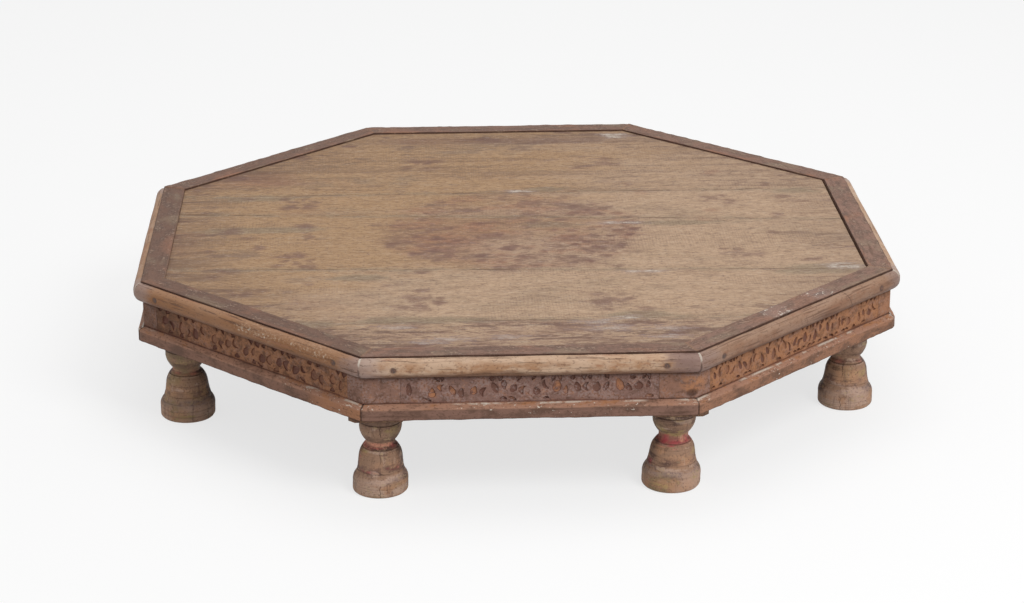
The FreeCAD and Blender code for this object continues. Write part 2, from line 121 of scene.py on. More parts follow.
class TableColours(bpy.types.PropertyGroup):
    """Colours of the old wood and of what is left of its paint."""
    # Laid paler towards the front right of the top as painted light, and in pale grain and drifts
    plank_pale: colour("Pale plank", "Rubbed wood of the top", 178, 150, 124)
    plank_warm: colour("Warm plank", "Brown wood of the top", 167, 135, 102)
    plank_dark: colour("Dark plank", "Dark streaks of the top", 102, 79, 68)
    film: colour("Grey film", "Greenish grey film on the top", 142, 125, 103)
    old_paint: colour("Old paint", "Faded purple-brown of the painted flowers", 112, 82, 74)
    old_red: colour("Old red", "Faded red-brown of the painted flowers", 152, 106, 82)
    # Also laid as painted glints in the pale specks of a few boards
    chalk: colour("Chalky filler", "Pale filler left in seams and corners", 206, 196, 182)
    border: colour("Border", "Purple-brown of the border", 136, 106, 92)
    border_dark: colour("Dark border", "Dark mottles of the border", 82, 59, 47)
    nosing: colour("Nosing", "Golden brown of the nosing", 160, 121, 90)
    # Laid on the nosing's upper rounding, partly as a painted highlight, and in pale specks
    nosing_pale: colour("Pale nosing", "Rubbed top of the nosing", 188, 159, 134)
    nosing_orange: colour("Orange nosing", "Orange-brown of the left-hand nosing", 142, 98, 64)
    nosing_dark: colour("Dark nosing", "Shaded, dirty underside of the nosing", 98, 68, 52)
    # Also laid as a painted highlight round the legs' shoulders
    lilac: colour("Lilac film", "Greyish lilac film at the nosing's ends", 150, 131, 126)
    carved_orange: colour("Orange carving", "Orange-tan ground of the carved boards", 162, 114, 82)
    carved_purple: colour("Purple carving", "Purple-brown ground of the carved boards", 130, 100, 90)
    # Also laid as a painted shadow under the nosing along the carved boards' tops, and as painted shade over
    # the front left carved board
    recess: colour("Recess", "Dark dirt of the joints", 62, 40, 33)
    # Laid on the cuts' walls as dirt and paint in them, and as painted shade in the recess
    cut: colour("Cut", "Dark red-brown of the cuts' walls", 92, 54, 44)
    cut_floor: colour("Cut floor", "Purple-brown of the cuts' floors", 118, 88, 76)
    cut_paint: colour("Cut paint", "Orange-tan paint left in some cuts", 166, 114, 82)
    # Laid on the bevel as worn wood and a painted highlight, and on the worn edges
    base_rubbed_and_lit: colour("Base bevel", "Rubbed orange-tan of the base's bevel", 160, 120, 99)
    base_face: colour("Base face", "Dark purple-grey of the base's face", 125, 94, 81)
    leg: colour("Leg", "Brown of the turned legs", 152, 120, 98)
    leg_tan: colour("Tan leg", "Warm orange-tan of the bells", 182, 138, 106)
    # Also laid as painted highlights along the shoulder's edge and on a ring below the neck
    leg_pale: colour("Pale leg", "Grey-pink rubbed wood of the feet", 186, 156, 138)
    # Also laid as painted shade down the legs' flanks and towards their tops under the base frame
    leg_dark: colour("Dark leg", "Dark purple-brown patches of the legs", 84, 62, 55)
    olive: colour("Olive film", "Yellow-green film on the legs", 132, 116, 82)
    moss: colour("Moss", "Yellow-green streaks on the legs", 166, 144, 94)
    leg_red: colour("Leg red", "Pink-red paint round the legs' necks", 172, 74, 80)
    leg_coral: colour("Leg coral", "Tan-pink paint of the necks", 200, 138, 114)
    plain: colour("Plain wood", "Unpainted wood of the underside", 132, 102, 78)
    iron: colour("Iron", "Rusted iron of the nails", 86, 70, 64)
    floor: colour("Floor", "Pale studio floor", 236, 236, 236)


class Wire:
    """One number, place or colour of a finish; sums and products of wires become nodes."""

    def __init__(self, finish, socket):
        self.finish = finish
        self.socket = socket

    def __add__(self, other):
        return self.finish.math("ADD", self, other)

    def __sub__(self, other):
        return self.finish.math("SUBTRACT", self, other)

    def __rsub__(self, other):
        return self.finish.math("SUBTRACT", other, self)

    def __mul__(self, other):
        return self.finish.math("MULTIPLY", self, other)

    def __abs__(self):
        return self.finish.math("ABSOLUTE", self)

    def sway(self, amount):
        """A cloud's swing about its middle, times an amount."""
        return (self - 0.5) * amount

    def spread(self, low, high, start=0.0, end=1.0):
        """start up to low, end from high on, and a smooth step between."""
        made = self.finish.node("ShaderNodeMapRange", interpolation_type="SMOOTHSTEP")
        for socket, number in zip(made.inputs, (self, low, high, start, end)):
            self.finish.feed(socket, number)
        return Wire(self.finish, made.outputs[0])

    def near(self, middle, reach, full=0.0):
        """1 where the wire is within full of a middle, falling to 0 at its reach."""
        return abs(self - middle).spread(full, reach, 1.0, 0.0)

    __radd__ = __add__
    __rmul__ = __mul__


class Finish:
    """A procedural material under construction: its shader, its shade so far, and short words
    for its nodes."""
    lot_move = (7.3, 3.1, 5.7)

    def __init__(self, name, scene, ground, specular):
        self.sizes = scene.table_sizes
        self.colours = scene.table_colours
        self.material = bpy.data.materials.new(name)
        self.material.use_nodes = True
        self.tree = self.material.node_tree
        self.shader = self.tree.nodes["Principled BSDF"]
        self.shader.inputs["Specular IOR Level"].default_value = specular
        self.shade = getattr(self.colours, ground)

    def node(self, kind, **settings):
        made = self.tree.nodes.new(kind)
        for setting, value in settings.items():
            setattr(made, setting, value)
        return made

    def feed(self, socket, value):
        """Link a wire to a socket, or set a plain number, place or colour on it."""
        if isinstance(value, Wire):
            self.tree.links.new(value.socket, socket)
        else:
            socket.default_value = value

    def math(self, kind, first, second=0.0, third=0.0):
        made = self.node("ShaderNodeMath", operation=kind)
        for socket, value in zip(made.inputs, (first, second, third)):
            self.feed(socket, value)
        return Wire(self, made.outputs[0])

    def number(self, name):
        """A number written on the piece's own mesh."""
        made = self.node("ShaderNodeAttribute", attribute_name=name)
        return Wire(self, made.outputs["Fac"])

    def vector(self, name):
        """A place, or three numbers, written on the piece's own mesh."""
        made = self.node("ShaderNodeAttribute", attribute_name=name)
        return Wire(self, made.outputs["Vector"])

    def board(self):
        """The place in the board's own axes, the same place moved by the board's lot so that no
        two boards share their grain, and the board's tone and pale specks, which on some boards are partly
        painted glints."""
        board = self.vector("board")
        self.lot, tone, flecks_and_glints = self.parts(self.vector("stock"))
        moved = self.node("ShaderNodeVectorMath", operation="MULTIPLY_ADD")
        self.feed(moved.inputs[0], self.lot)
        moved.inputs[1].default_value = self.lot_move
        self.feed(moved.inputs[2], board)
        return board, Wire(self, moved.outputs[0]), tone, flecks_and_glints

    def only(self, node):
        """1 on the piece of one frame node, 0 on the others."""
        return self.lot.near(float(LOTS[node]), 0.5)

    def since(self, node, before=0.0, after=1.0):
        """One number up to a frame node's piece and another from it on, in the order of lots."""
        return self.lot.spread(LOTS[node] - 0.6, LOTS[node] - 0.4, before, after)

    def parts(self, vector):
        made = self.node("ShaderNodeSeparateXYZ")
        self.feed(made.inputs[0], vector)
        return [Wire(self, output) for output in made.outputs]

    def cloud(self, vector, scale, move=(0, 0, 0), detail=3.0, rough=0.55):
        """Clouds of the given number to a metre along each axis, about 0.5 in the middle."""
        mapping = self.node("ShaderNodeMapping")
        self.feed(mapping.inputs["Vector"], vector)
        mapping.inputs["Scale"].default_value = scale
        mapping.inputs["Location"].default_value = move
        made = self.node("ShaderNodeTexNoise")
        self.tree.links.new(mapping.outputs[0], made.inputs["Vector"])
        made.inputs["Scale"].default_value = 1.0
        made.inputs["Detail"].default_value = detail
        made.inputs["Roughness"].default_value = rough
        return Wire(self, made.outputs[0])

    def spot(self, x, y, middle, reach):
        """1 at a middle, falling to 0 at its reach along two axes."""
        across = (x - middle[0]) * (1 / reach[0])
        along = (y - middle[1]) * (1 / reach[1])
        return (across * across + along * along).spread(0.15, 1.0, 1.0, 0.0)

    def most(self, *wires):
        total = wires[0]
        for wire in wires[1:]:
            total = self.math("MAXIMUM", total, wire)
        return total

    def over(self, colour_name, share):
        """Lay one of the table's colours over the shade so far, by a share from 0 to 1."""
        made = self.node("ShaderNodeMix", data_type="RGBA")
        self.feed(made.inputs[0], share)
        self.feed(made.inputs[6], self.shade)
        self.feed(made.inputs[7], getattr(self.colours, colour_name))
        self.shade = Wire(self, made.outputs[2])

    def close(self, roughness, height, depth):
        """Wire the finish to its shader: shade, roughness, and a relief of the given depth."""
        self.feed(self.shader.inputs["Base Color"], self.shade)
        self.feed(self.shader.inputs["Roughness"], roughness)
        bump = self.node("ShaderNodeBump")
        bump.inputs["Distance"].default_value = depth
        bump.inputs["Strength"].default_value = 1.0
        self.feed(bump.inputs["Height"], height)
        self.tree.links.new(bump.outputs[0], self.shader.inputs["Normal"])


def rosette(finish, x, y):
    """Rings of petals round the middle of the top, as faded paint: 1 in a petal, 0 outside. The
    second number is 1 inside the rosette and fades out past its rim."""
    radius = finish.math("SQRT", x * x + y * y)
    turn = finish.math("ARCTAN2", y, x)
    # Each ring's radius in millimetres, its number of petals, and how far round the first is
    rings = ((152, 40, 0.4), (127, 34, 1.9), (101, 26, 0.2), (75, 19, 1.1), (49, 12, 0.4), (23, 6, 2.0))
    petals = []
    for ring_radius, count, first in rings:
        ring = radius.near(ring_radius * MM, 10.5 * MM, 3.5 * MM)
        petals.append(ring * finish.math("COSINE", turn * float(count) + first).spread(-0.45, 0.55))
    return finish.most(*petals), radius.spread(135 * MM, 185 * MM, 1, 0)


def flowers(finish, x, y):
    """Eight small flowers of five petals in a ring, one towards each corner of the top."""
    ring, petal_out = 286 * MM, 14 * MM
    radius = finish.math("SQRT", x * x + y * y)
    turn = finish.math("ARCTAN2", y, x)
    in_sector = finish.math("PINGPONG", turn + math.pi, SIDE_TURN / 2)
    across = radius * finish.math("COSINE", SIDE_TURN / 2 - in_sector) - ring
    along = radius * finish.math("SINE", SIDE_TURN / 2 - in_sector)
    out = finish.math("SQRT", across * across + along * along)
    petal = finish.math("COSINE", finish.math("ARCTAN2", along, across) * 5.0).spread(-1.0, 0.5)
    return petal * out.near(petal_out, 10.5 * MM, 2 * MM)


def plank_finish(finish, over, cloud):
    """Brown boards with grain, saw marks, dirt, seams, and what is left of the painted flowers, laid paler
    towards the front right as painted light.
    """
    board, place, tone, seam = finish.board()
    y, x, _ = finish.parts(board)
    paint, grey, orange = finish.parts(finish.vector("smears"))
    drifts = cloud(place, (9, 3.2, 9), detail=4)
    bands = cloud(place, (48, 3.4, 48), (4, 7, 1), detail=4)
    streaks = cloud(place, (170, 9, 170), (3, 2, 1), detail=4, rough=0.62)
    dashes = cloud(place, (150, 42, 150), (5, 1, 7), detail=5, rough=0.68)
    smudges = cloud(board, (38, 17, 38), (6, 6, 2), detail=5, rough=0.66)
    fibres = cloud(place, (640, 120, 640), (1, 5, 2), detail=3, rough=0.7)
    specks = cloud(place, (330, 220, 330), (8, 3, 2), detail=3)
    # Painted light: the top is laid paler towards the front right, where the lamps shine from, and less
    # filmed and dirty there
    rubbed_and_lit = (x * 0.8 - y * 0.5 + drifts.sway(0.7)).spread(-0.32, 0.20)
    out = finish.most(abs(x), abs(y), abs(x + y) * math.sqrt(0.5), abs(x - y) * math.sqrt(0.5))
    edge = (out + drifts.sway(0.10)).spread(310 * MM, 425 * MM) * (1.0 - rubbed_and_lit * 0.55)
    ragged = smudges.sway(1.3) + dashes.sway(0.9)

    pale = rubbed_and_lit + bands.sway(0.5) + smudges.sway(0.5) + dashes.sway(0.5)
    over("plank_pale", pale.spread(0.1, 0.9))
    over("film", (drifts * 0.5 + smudges * 0.5).spread(0.50, 0.62) * (1.0 - rubbed_and_lit * 0.6) * 0.6)
    over("film", (grey + ragged).spread(0.25, 0.75) * 0.75)
    worn = finish.most(tone, edge * 0.8)
    over("plank_dark", streaks.spread(0.55, 0.74) * (worn * 0.45 + 0.12))
    over("plank_dark", (bands + dashes.sway(0.6)).spread(0.50, 0.64) * worn * 0.7)
    over("plank_dark", (dashes + bands.sway(0.6)).spread(0.50, 0.64) * tone * 0.7)
    over("chalk", (dashes + smudges.sway(0.5)).spread(0.40, 0.28) * tone * 0.3)
    front = tone.spread(0.8, 0.9)
    over("old_paint", front * (smudges + dashes.sway(1.2)).spread(0.36, 0.62) * 0.5)
    back_band = (y + bands.sway(0.03)).near(379 * MM, 20 * MM, 8 * MM)
    back_band = back_band * (x + smudges.sway(0.2)).spread(0.20, 0.12) * x.spread(-0.20, -0.12)
    over("old_paint", back_band * dashes.spread(0.36, 0.52, 0.4, 1) * 0.6)
    over("old_paint", smudges.spread(0.56, 0.66) * (edge * 0.7 + 0.2))
    over("old_red", drifts.spread(0.52, 0.62) * x.spread(-0.1, -0.4) * 0.3)
    over("old_red", (orange + ragged).spread(0.2, 0.9) * 0.36)

    warp_x = x + cloud(board, (55, 45, 42), (1, 2, 3), detail=4).sway(34 * MM)
    warp_y = y + cloud(board, (55, 30, 60), (5, 2, 8), detail=4).sway(30 * MM)
    petals, inside = rosette(finish, warp_x, (warp_y + 10 * MM) * 1.05)
    left = cloud(board, (30, 16, 28), (3, 3, 9), detail=4).spread(0.40, 0.60)
    strong = warp_y.spread(0.14, 0.02, 0.45, 1.0)
    over("old_red", inside * x.spread(0.05, -0.17, 0.18, 0.28) * left * strong)
    over("old_paint", inside * strong * 0.20)
    kept = left * 0.34 + x.spread(0.03, 0.11) * 0.35 + 0.32
    over("old_paint", petals * ragged.spread(-0.22, 0.12, 0.25, 1) * kept * strong)
    over("old_red", inside * (dashes + left.sway(0.2)).spread(0.54, 0.66) * 0.35)
    over("old_paint", inside * (smudges + dashes.sway(0.5)).spread(0.50, 0.60) * 0.5)
    bloom = flowers(finish, warp_x, warp_y)
    over("old_paint", bloom * (left * 0.3 + 0.32) * (x + y).spread(0.40, 0.33))
    over("old_paint", (paint + ragged * 1.7).spread(0.25, 1.00) * 0.62)

    over("plank_dark", edge * (bands + (dashes - 0.5)).spread(0.30, 0.62, 0.2, 1) * 0.55)
    over("film", seam.spread(0.1, 0.8) * dashes.spread(0.40, 0.58) * 0.6)
    broken = (streaks + smudges.sway(0.7)).spread(0.46, 0.58)
    over("plank_dark", seam.spread(0.86, 0.98) * broken * 0.8)
    chalky = finish.number("chalky")
    ragged_chalk = chalky + dashes.sway(2.4) + specks.sway(1.2)
    over("lilac", ragged_chalk.spread(0.25, 0.80) * 0.55)
    over("chalk", ragged_chalk.spread(0.60, 1.10) * (1.0 - front * 0.5) * 0.65)

    sawn = cloud(board, (8, 6, 7), (6, 1, 3), detail=2).spread(0.42, 0.60, 0.2, 1)
    sawn = sawn * bands.spread(0.4, 0.6, 0.4, 1)
    wobble = cloud(place, (9, 50, 18), (2, 9, 4), detail=3)
    # A saw mark every 3.6 mm, as radians to a metre
    saw_turns = 1745.0
    marks = finish.math("SINE", x * saw_turns + wobble * 20.0) * sawn
    over("plank_dark", marks.spread(0.1, 1.0) * 0.17)
    over("plank_dark", dashes.spread(0.50, 0.36) * 0.26)
    over("plank_dark", fibres.spread(0.53, 0.36) * 0.48)
    over("chalk", fibres.spread(0.55, 0.72) * 0.30)
    over("plank_dark", specks.spread(0.56, 0.68) * 0.50)
    height = streaks * 0.4 + dashes * 0.3 + fibres * 0.3 + marks * 0.12 + specks * 0.25
    finish.close(streaks.spread(0.3, 0.7, 0.62, 0.80), height, 0.7 * MM)


def border_finish(finish, over, cloud):
    """Purple-brown boards, mottled dark, with dirt in the joints to the planks and the nosing."""
    board, place, tone, flecks_and_glints = finish.board()
    depth, _, up = finish.parts(board)
    low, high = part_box("border_front")
    outer, top = -low.y, high.z
    inner = outer - finish.sizes.border_width
    streaks = cloud(place, (260, 22, 260), detail=4, rough=0.65)
    mottle = cloud(place, (95, 42, 95), (9, 4, 1), detail=6, rough=0.7)
    patches = cloud(place, (30, 14, 30), (2, 8, 5), detail=3)
    specks = cloud(place, (430, 300, 430), (5, 8, 3), detail=3)
    wear = finish.number("wear")
    over("border_dark", mottle.spread(0.40, 0.62) * 0.72)
    over("border_dark", tone)
    over("old_red", patches.spread(0.54, 0.66) * 0.3)
    over("film", patches.spread(0.46, 0.34) * 0.35)
    over("border_dark", streaks.spread(0.52, 0.68) * 0.6)
    over("nosing_pale", (specks + mottle.sway(0.8)).spread(0.60, 0.72) * 0.35)
    over("border_dark", specks.spread(0.44, 0.32) * 0.65)
    over("nosing", wear * mottle.spread(0.42, 0.56) * 0.5)
    # Pale specks on the front right board: chalk, and painted glints
    over("chalk", flecks_and_glints * (specks + mottle.sway(0.6)).spread(0.60, 0.66) * 0.9)
    ragged = mottle.sway(0.0026)
    over("recess", (depth + ragged).spread(outer - 1.0 * MM, outer - 0.2 * MM) * 0.8)
    joint = (depth + ragged).spread(inner + MM, inner) * up.spread(top - 3.5 * MM, top - MM)
    over("recess", joint * finish.since("border_left", 0.85, 0.2))
    edge_red = depth.near(inner + 2.9 * MM, 3 * MM) * patches.spread(0.50, 0.60)
    over("old_red", edge_red * finish.since("border_left", 0.7, 0.2))
    height = mottle * 0.7 + streaks * 0.4 + specks * 0.45
    finish.close(mottle.spread(0.3, 0.7, 0.74, 0.52) - flecks_and_glints * 0.2, height, MM)


def nosing_finish(finish, over, cloud):
    """Golden strips, laid pale on top as worn wood and a painted highlight and dark below as dirt and
    painted shade, cracked, with lilac ends and pale specks that are partly painted glints.
    """
    board, place, tone, flecks_and_glints = finish.board()
    depth, along, up = finish.parts(board)
    low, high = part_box("nosing_front")
    foot, inner = low.z, -high.y
    streaks = cloud(place, (240, 12, 240), detail=5, rough=0.65)
    mottle = cloud(place, (60, 26, 60), (9, 4, 1), detail=5, rough=0.68)
    cracks = cloud(place, (330, 15, 420), (2, 6, 4), detail=4, rough=0.6)
    specks = cloud(place, (430, 260, 430), (5, 8, 3), detail=3)
    rise = up + mottle.sway(0.007)
    out = abs(along)
    right_hand = finish.only("nosing_diagonal_front_right")
    over("nosing_pale", mottle.spread(0.40, 0.60) * 0.9)
    over("nosing_orange", tone)
    over("lilac", right_hand * 0.2)
    # The upper rounding is laid pale as worn wood and a painted highlight, the lower part dark as dirt and
    # painted shade
    over("nosing_pale", rise.spread(foot + 12.8 * MM, foot + 21.8 * MM) * (1.0 - tone * 0.75) * 0.7)
    over("nosing_dark", rise.spread(foot + 9.8 * MM, foot + 2.3 * MM) * 0.8)
    over("nosing_dark", streaks.spread(0.54, 0.70) * 0.55)
    over("old_red", (streaks + mottle.sway(0.5)).spread(0.42, 0.34) * 0.5)
    over("lilac", (out + mottle.sway(0.06)).spread(152 * MM, 182 * MM) * 0.6)
    stained = finish.only("nosing_front") * (along + mottle.sway(0.06)).spread(140 * MM, 164 * MM)
    over("old_paint", stained * mottle.spread(0.40, 0.60, 0.32, 0.70))
    crack = (cracks - right_hand * 0.05).spread(0.60, 0.66)
    over("nosing_dark", crack * finish.since("nosing_front", 0.75, 0.45))
    over("nosing_dark", right_hand * cracks.spread(0.46, 0.36) * 0.75)
    over("nosing_dark", specks.spread(0.44, 0.33) * 0.5)
    over("nosing_dark", right_hand * 0.35)
    nail = finish.spot(out, up, (NAIL_ALONG, NAIL_UP), (5.3 * MM, 4.6 * MM))
    over("recess", nail * 0.6)
    # The scarf line leans a little, and crosses the strip of the front right side
    scarf = (along + (up - (foot + 11.3 * MM)) * 0.6 + mottle.sway(0.004)).near(88 * MM, 0.9 * MM)
    over("recess", scarf * right_hand * 0.8)
    # Pale specks in a band along the rounding of the front left strip: chalky dust, and painted glints where
    # the light catches the rounding
    dust = specks + mottle.sway(0.5) - abs(rise - (foot + 14.8 * MM)) * 22.0
    over("nosing_pale", flecks_and_glints * dust.spread(0.46, 0.58) * 0.45)
    over("chalk", flecks_and_glints * dust.spread(0.61, 0.67) * 0.85)
    mitre = (depth * HALF_SIDE_SHARE - out + mottle.sway(0.004)).spread(1.8 * MM, 0.6 * MM)
    over("chalk", mitre * (up + mottle.sway(0.02)).spread(foot + 12.3 * MM, foot + 18.3 * MM) * 0.75)
    over("recess", mitre * up.spread(foot + 13.3 * MM, foot + 9.3 * MM) * 0.5)
    gap = (depth + mottle.sway(0.0012)).spread(inner + MM, inner + 0.3 * MM)
    over("recess", gap * 0.85)
    height = streaks * 0.45 + mottle * 0.5 - crack * 0.5 + specks * 0.3
    finish.close(mottle.spread(0.3, 0.7, 0.70, 0.50), height, MM)


def carved_finish(finish, over, cloud):
    """Dusty boards and posts, orange or purple, with cuts darkened by dirt, paint and painted shade, paint
    left in some of them, a painted shadow under the nosing, and the front left board laid darker as painted
    shade.
    """
    board, place, tone, sharp = finish.board()
    _, along, up = finish.parts(board)
    low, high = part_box("frieze_front")
    foot, top = low.z, high.z
    streaks = cloud(place, (260, 22, 260), detail=4, rough=0.65)
    mottle = cloud(place, (110, 90, 110), (9, 4, 1), detail=5, rough=0.68)
    patches = cloud(place, (70, 45, 70), (4, 4, 6), detail=3)
    specks = cloud(place, (430, 380, 430), (5, 8, 3), detail=3)
    carve = finish.number("carve")
    paint = finish.number("paint")
    over("carved_orange", tone)
    over("old_red", patches.spread(0.52, 0.64) * 0.45)
    over("border_dark", mottle.spread(0.48, 0.66) * 0.55)
    over("border_dark", streaks.spread(0.56, 0.72) * 0.35)
    dust = (specks + patches.sway(0.9)).spread(0.50, 0.66)
    over("lilac", dust * (1.0 - tone * 0.6) * 0.5)
    left_board = finish.only("frieze_diagonal_front_left")
    # Painted shade: the front left board, turned from the lamps, is laid darker all over; the front right
    # one is laid a little darker too
    darkened_boards = left_board + finish.only("frieze_diagonal_front_right") * 0.45
    over("recess", darkened_boards * (mottle.spread(0.42, 0.60) * 0.25 + 0.17))
    left_end = left_board * (along + patches.sway(0.05)).spread(-85 * MM, -150 * MM)
    over("border_dark", left_end * 0.65)
    over("border_dark", finish.since("corner_post_right_back") * sharp)
    worn_post = finish.only("corner_post_front_right")
    wander = patches.sway(0.012)
    rubbed_and_lit = finish.spot(along + wander, up + wander * 0.5, (181 * MM, foot + 17 * MM), (20 * MM, 12.5 * MM))
    over("carved_orange", rubbed_and_lit * worn_post * mottle.spread(0.66, 0.44) * 0.9)
    notch = finish.spot(along + wander, up, (180.5 * MM, foot + 7 * MM), (8.5 * MM, 5.8 * MM))
    over("recess", notch * worn_post * 0.75)
    over("carved_orange", mottle.spread(0.44, 0.34) * 0.4)
    over("recess", specks.spread(0.42, 0.32) * 0.45)
    # The cuts' walls are laid dark red-brown: dirt and paint in them, and painted shade in the recess
    over("cut", carve.spread(0.10, 0.50) * sharp)
    floor = carve.spread(0.60, 0.95)
    over("cut_floor", floor * mottle.spread(0.38, 0.56, 0.9, 0.5))
    over("carved_orange", floor * tone * paint.spread(0.30, 0.80) * 0.45)
    over("cut", floor * (mottle + paint.sway(0.3)).spread(0.50, 0.40) * sharp * 0.6)
    over("lilac", floor * dust * (1.0 - tone) * 0.6)
    painted_cut = (paint - tone * 0.45).spread(0.55, 0.62) * mottle.spread(0.60, 0.48)
    over("cut_paint", floor * painted_cut * patches.spread(0.36, 0.6, 0.95, 0.5))
    # Painted shadow: a dark band along the top of the boards, under the nosing
    over("recess", up.spread(top - 5.5 * MM, top - 0.5 * MM) * 0.75)
    over("cut", (up + patches.sway(0.004)).spread(foot + 2.5 * MM, foot + 0.3 * MM) * 0.7)
    height = mottle * 0.6 + specks * 0.5 + streaks * 0.3
    finish.close(0.75, height, 0.9 * MM)


def base_finish(finish, over, cloud):
    """Purple-grey boards with an orange-tan bevel laid paler as worn wood and a painted highlight, chalky
    crumbs, pale specks that are partly painted glints, and dirt in the joints.
    """
    board, place, tone, flecks_and_glints = finish.board()
    depth, along, up = finish.parts(board)
    low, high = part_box("base_moulding_front")
    foot, bevel_foot = low.z, high.z - finish.sizes.bevel_drop
    apron = -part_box("frieze_front")[0].y
    streaks = cloud(place, (240, 18, 240), detail=4, rough=0.65)
    mottle = cloud(place, (80, 36, 80), (9, 4, 1), detail=5, rough=0.68)
    specks = cloud(place, (430, 300, 430), (5, 8, 3), detail=3)
    wear = finish.number("wear")
    out = abs(along)
    bevel = (up + mottle.sway(0.002)).spread(bevel_foot - 2 * MM, bevel_foot + 0.2 * MM)
    left_board = finish.only("base_moulding_diagonal_front_left")
    left_end = left_board * (along + mottle.sway(0.04)).spread(95 * MM, 135 * MM)
    over("carved_orange", tone)
    over("border_dark", mottle.spread(0.44, 0.62) * 0.65)
    over("carved_orange", left_end * 0.85)
    over("old_red", left_end * mottle.spread(0.40, 0.55) * 0.5)
    # The bevel is laid paler orange-tan: worn wood, and a painted highlight on the face that looks up
    over("base_rubbed_and_lit", bevel * mottle.spread(0.66, 0.50, 0.35, 1))
    over("carved_orange", bevel * mottle.spread(0.45, 0.36))
    over("border_dark", streaks.spread(0.54, 0.70) * 0.55)
    over("base_rubbed_and_lit", wear * specks.spread(0.50, 0.62) * 0.5)
    over("border_dark", specks.spread(0.44, 0.32) * 0.6)
    crumbs = out.spread(158 * MM, 176 * MM) * bevel
    right_board = finish.only("base_moulding_diagonal_front_right")
    right_corner = right_board * (along + mottle.sway(0.02)).spread(168 * MM, 178 * MM) * bevel
    over("chalk", right_corner * mottle.spread(0.42, 0.52) * 0.55)
    # Chalky crumbs near the ends, and pale specks on three boards that are partly painted glints
    scattered_chalk_and_glints = specks + mottle.sway(0.5) + wear * 0.10 + crumbs * 0.04
    over("chalk", finish.most(flecks_and_glints, crumbs) * scattered_chalk_and_glints.spread(0.70, 0.76) * 0.9)
    mitre = (depth * HALF_SIDE_SHARE - out + mottle.sway(0.002)).spread(1.3 * MM, 0.5 * MM)
    over("recess", mitre * 0.75)
    over("recess", depth.spread(apron + 0.8 * MM, apron + 0.1 * MM) * (1.0 - flecks_and_glints * 0.6) * 0.7)
    over("recess", (up + mottle.sway(0.001)).spread(foot + 1.2 * MM, foot + 0.3 * MM) * 0.6)
    dusty = finish.most(flecks_and_glints, crumbs) * depth.near(apron + 1.4 * MM, 1.8 * MM) * mottle.spread(0.44, 0.54)
    over("chalk", dusty * 0.75)
    height = mottle * 0.7 + streaks * 0.4 + specks * 0.4 - mitre
    finish.close(mottle.spread(0.3, 0.7, 0.74, 0.52), height, MM)


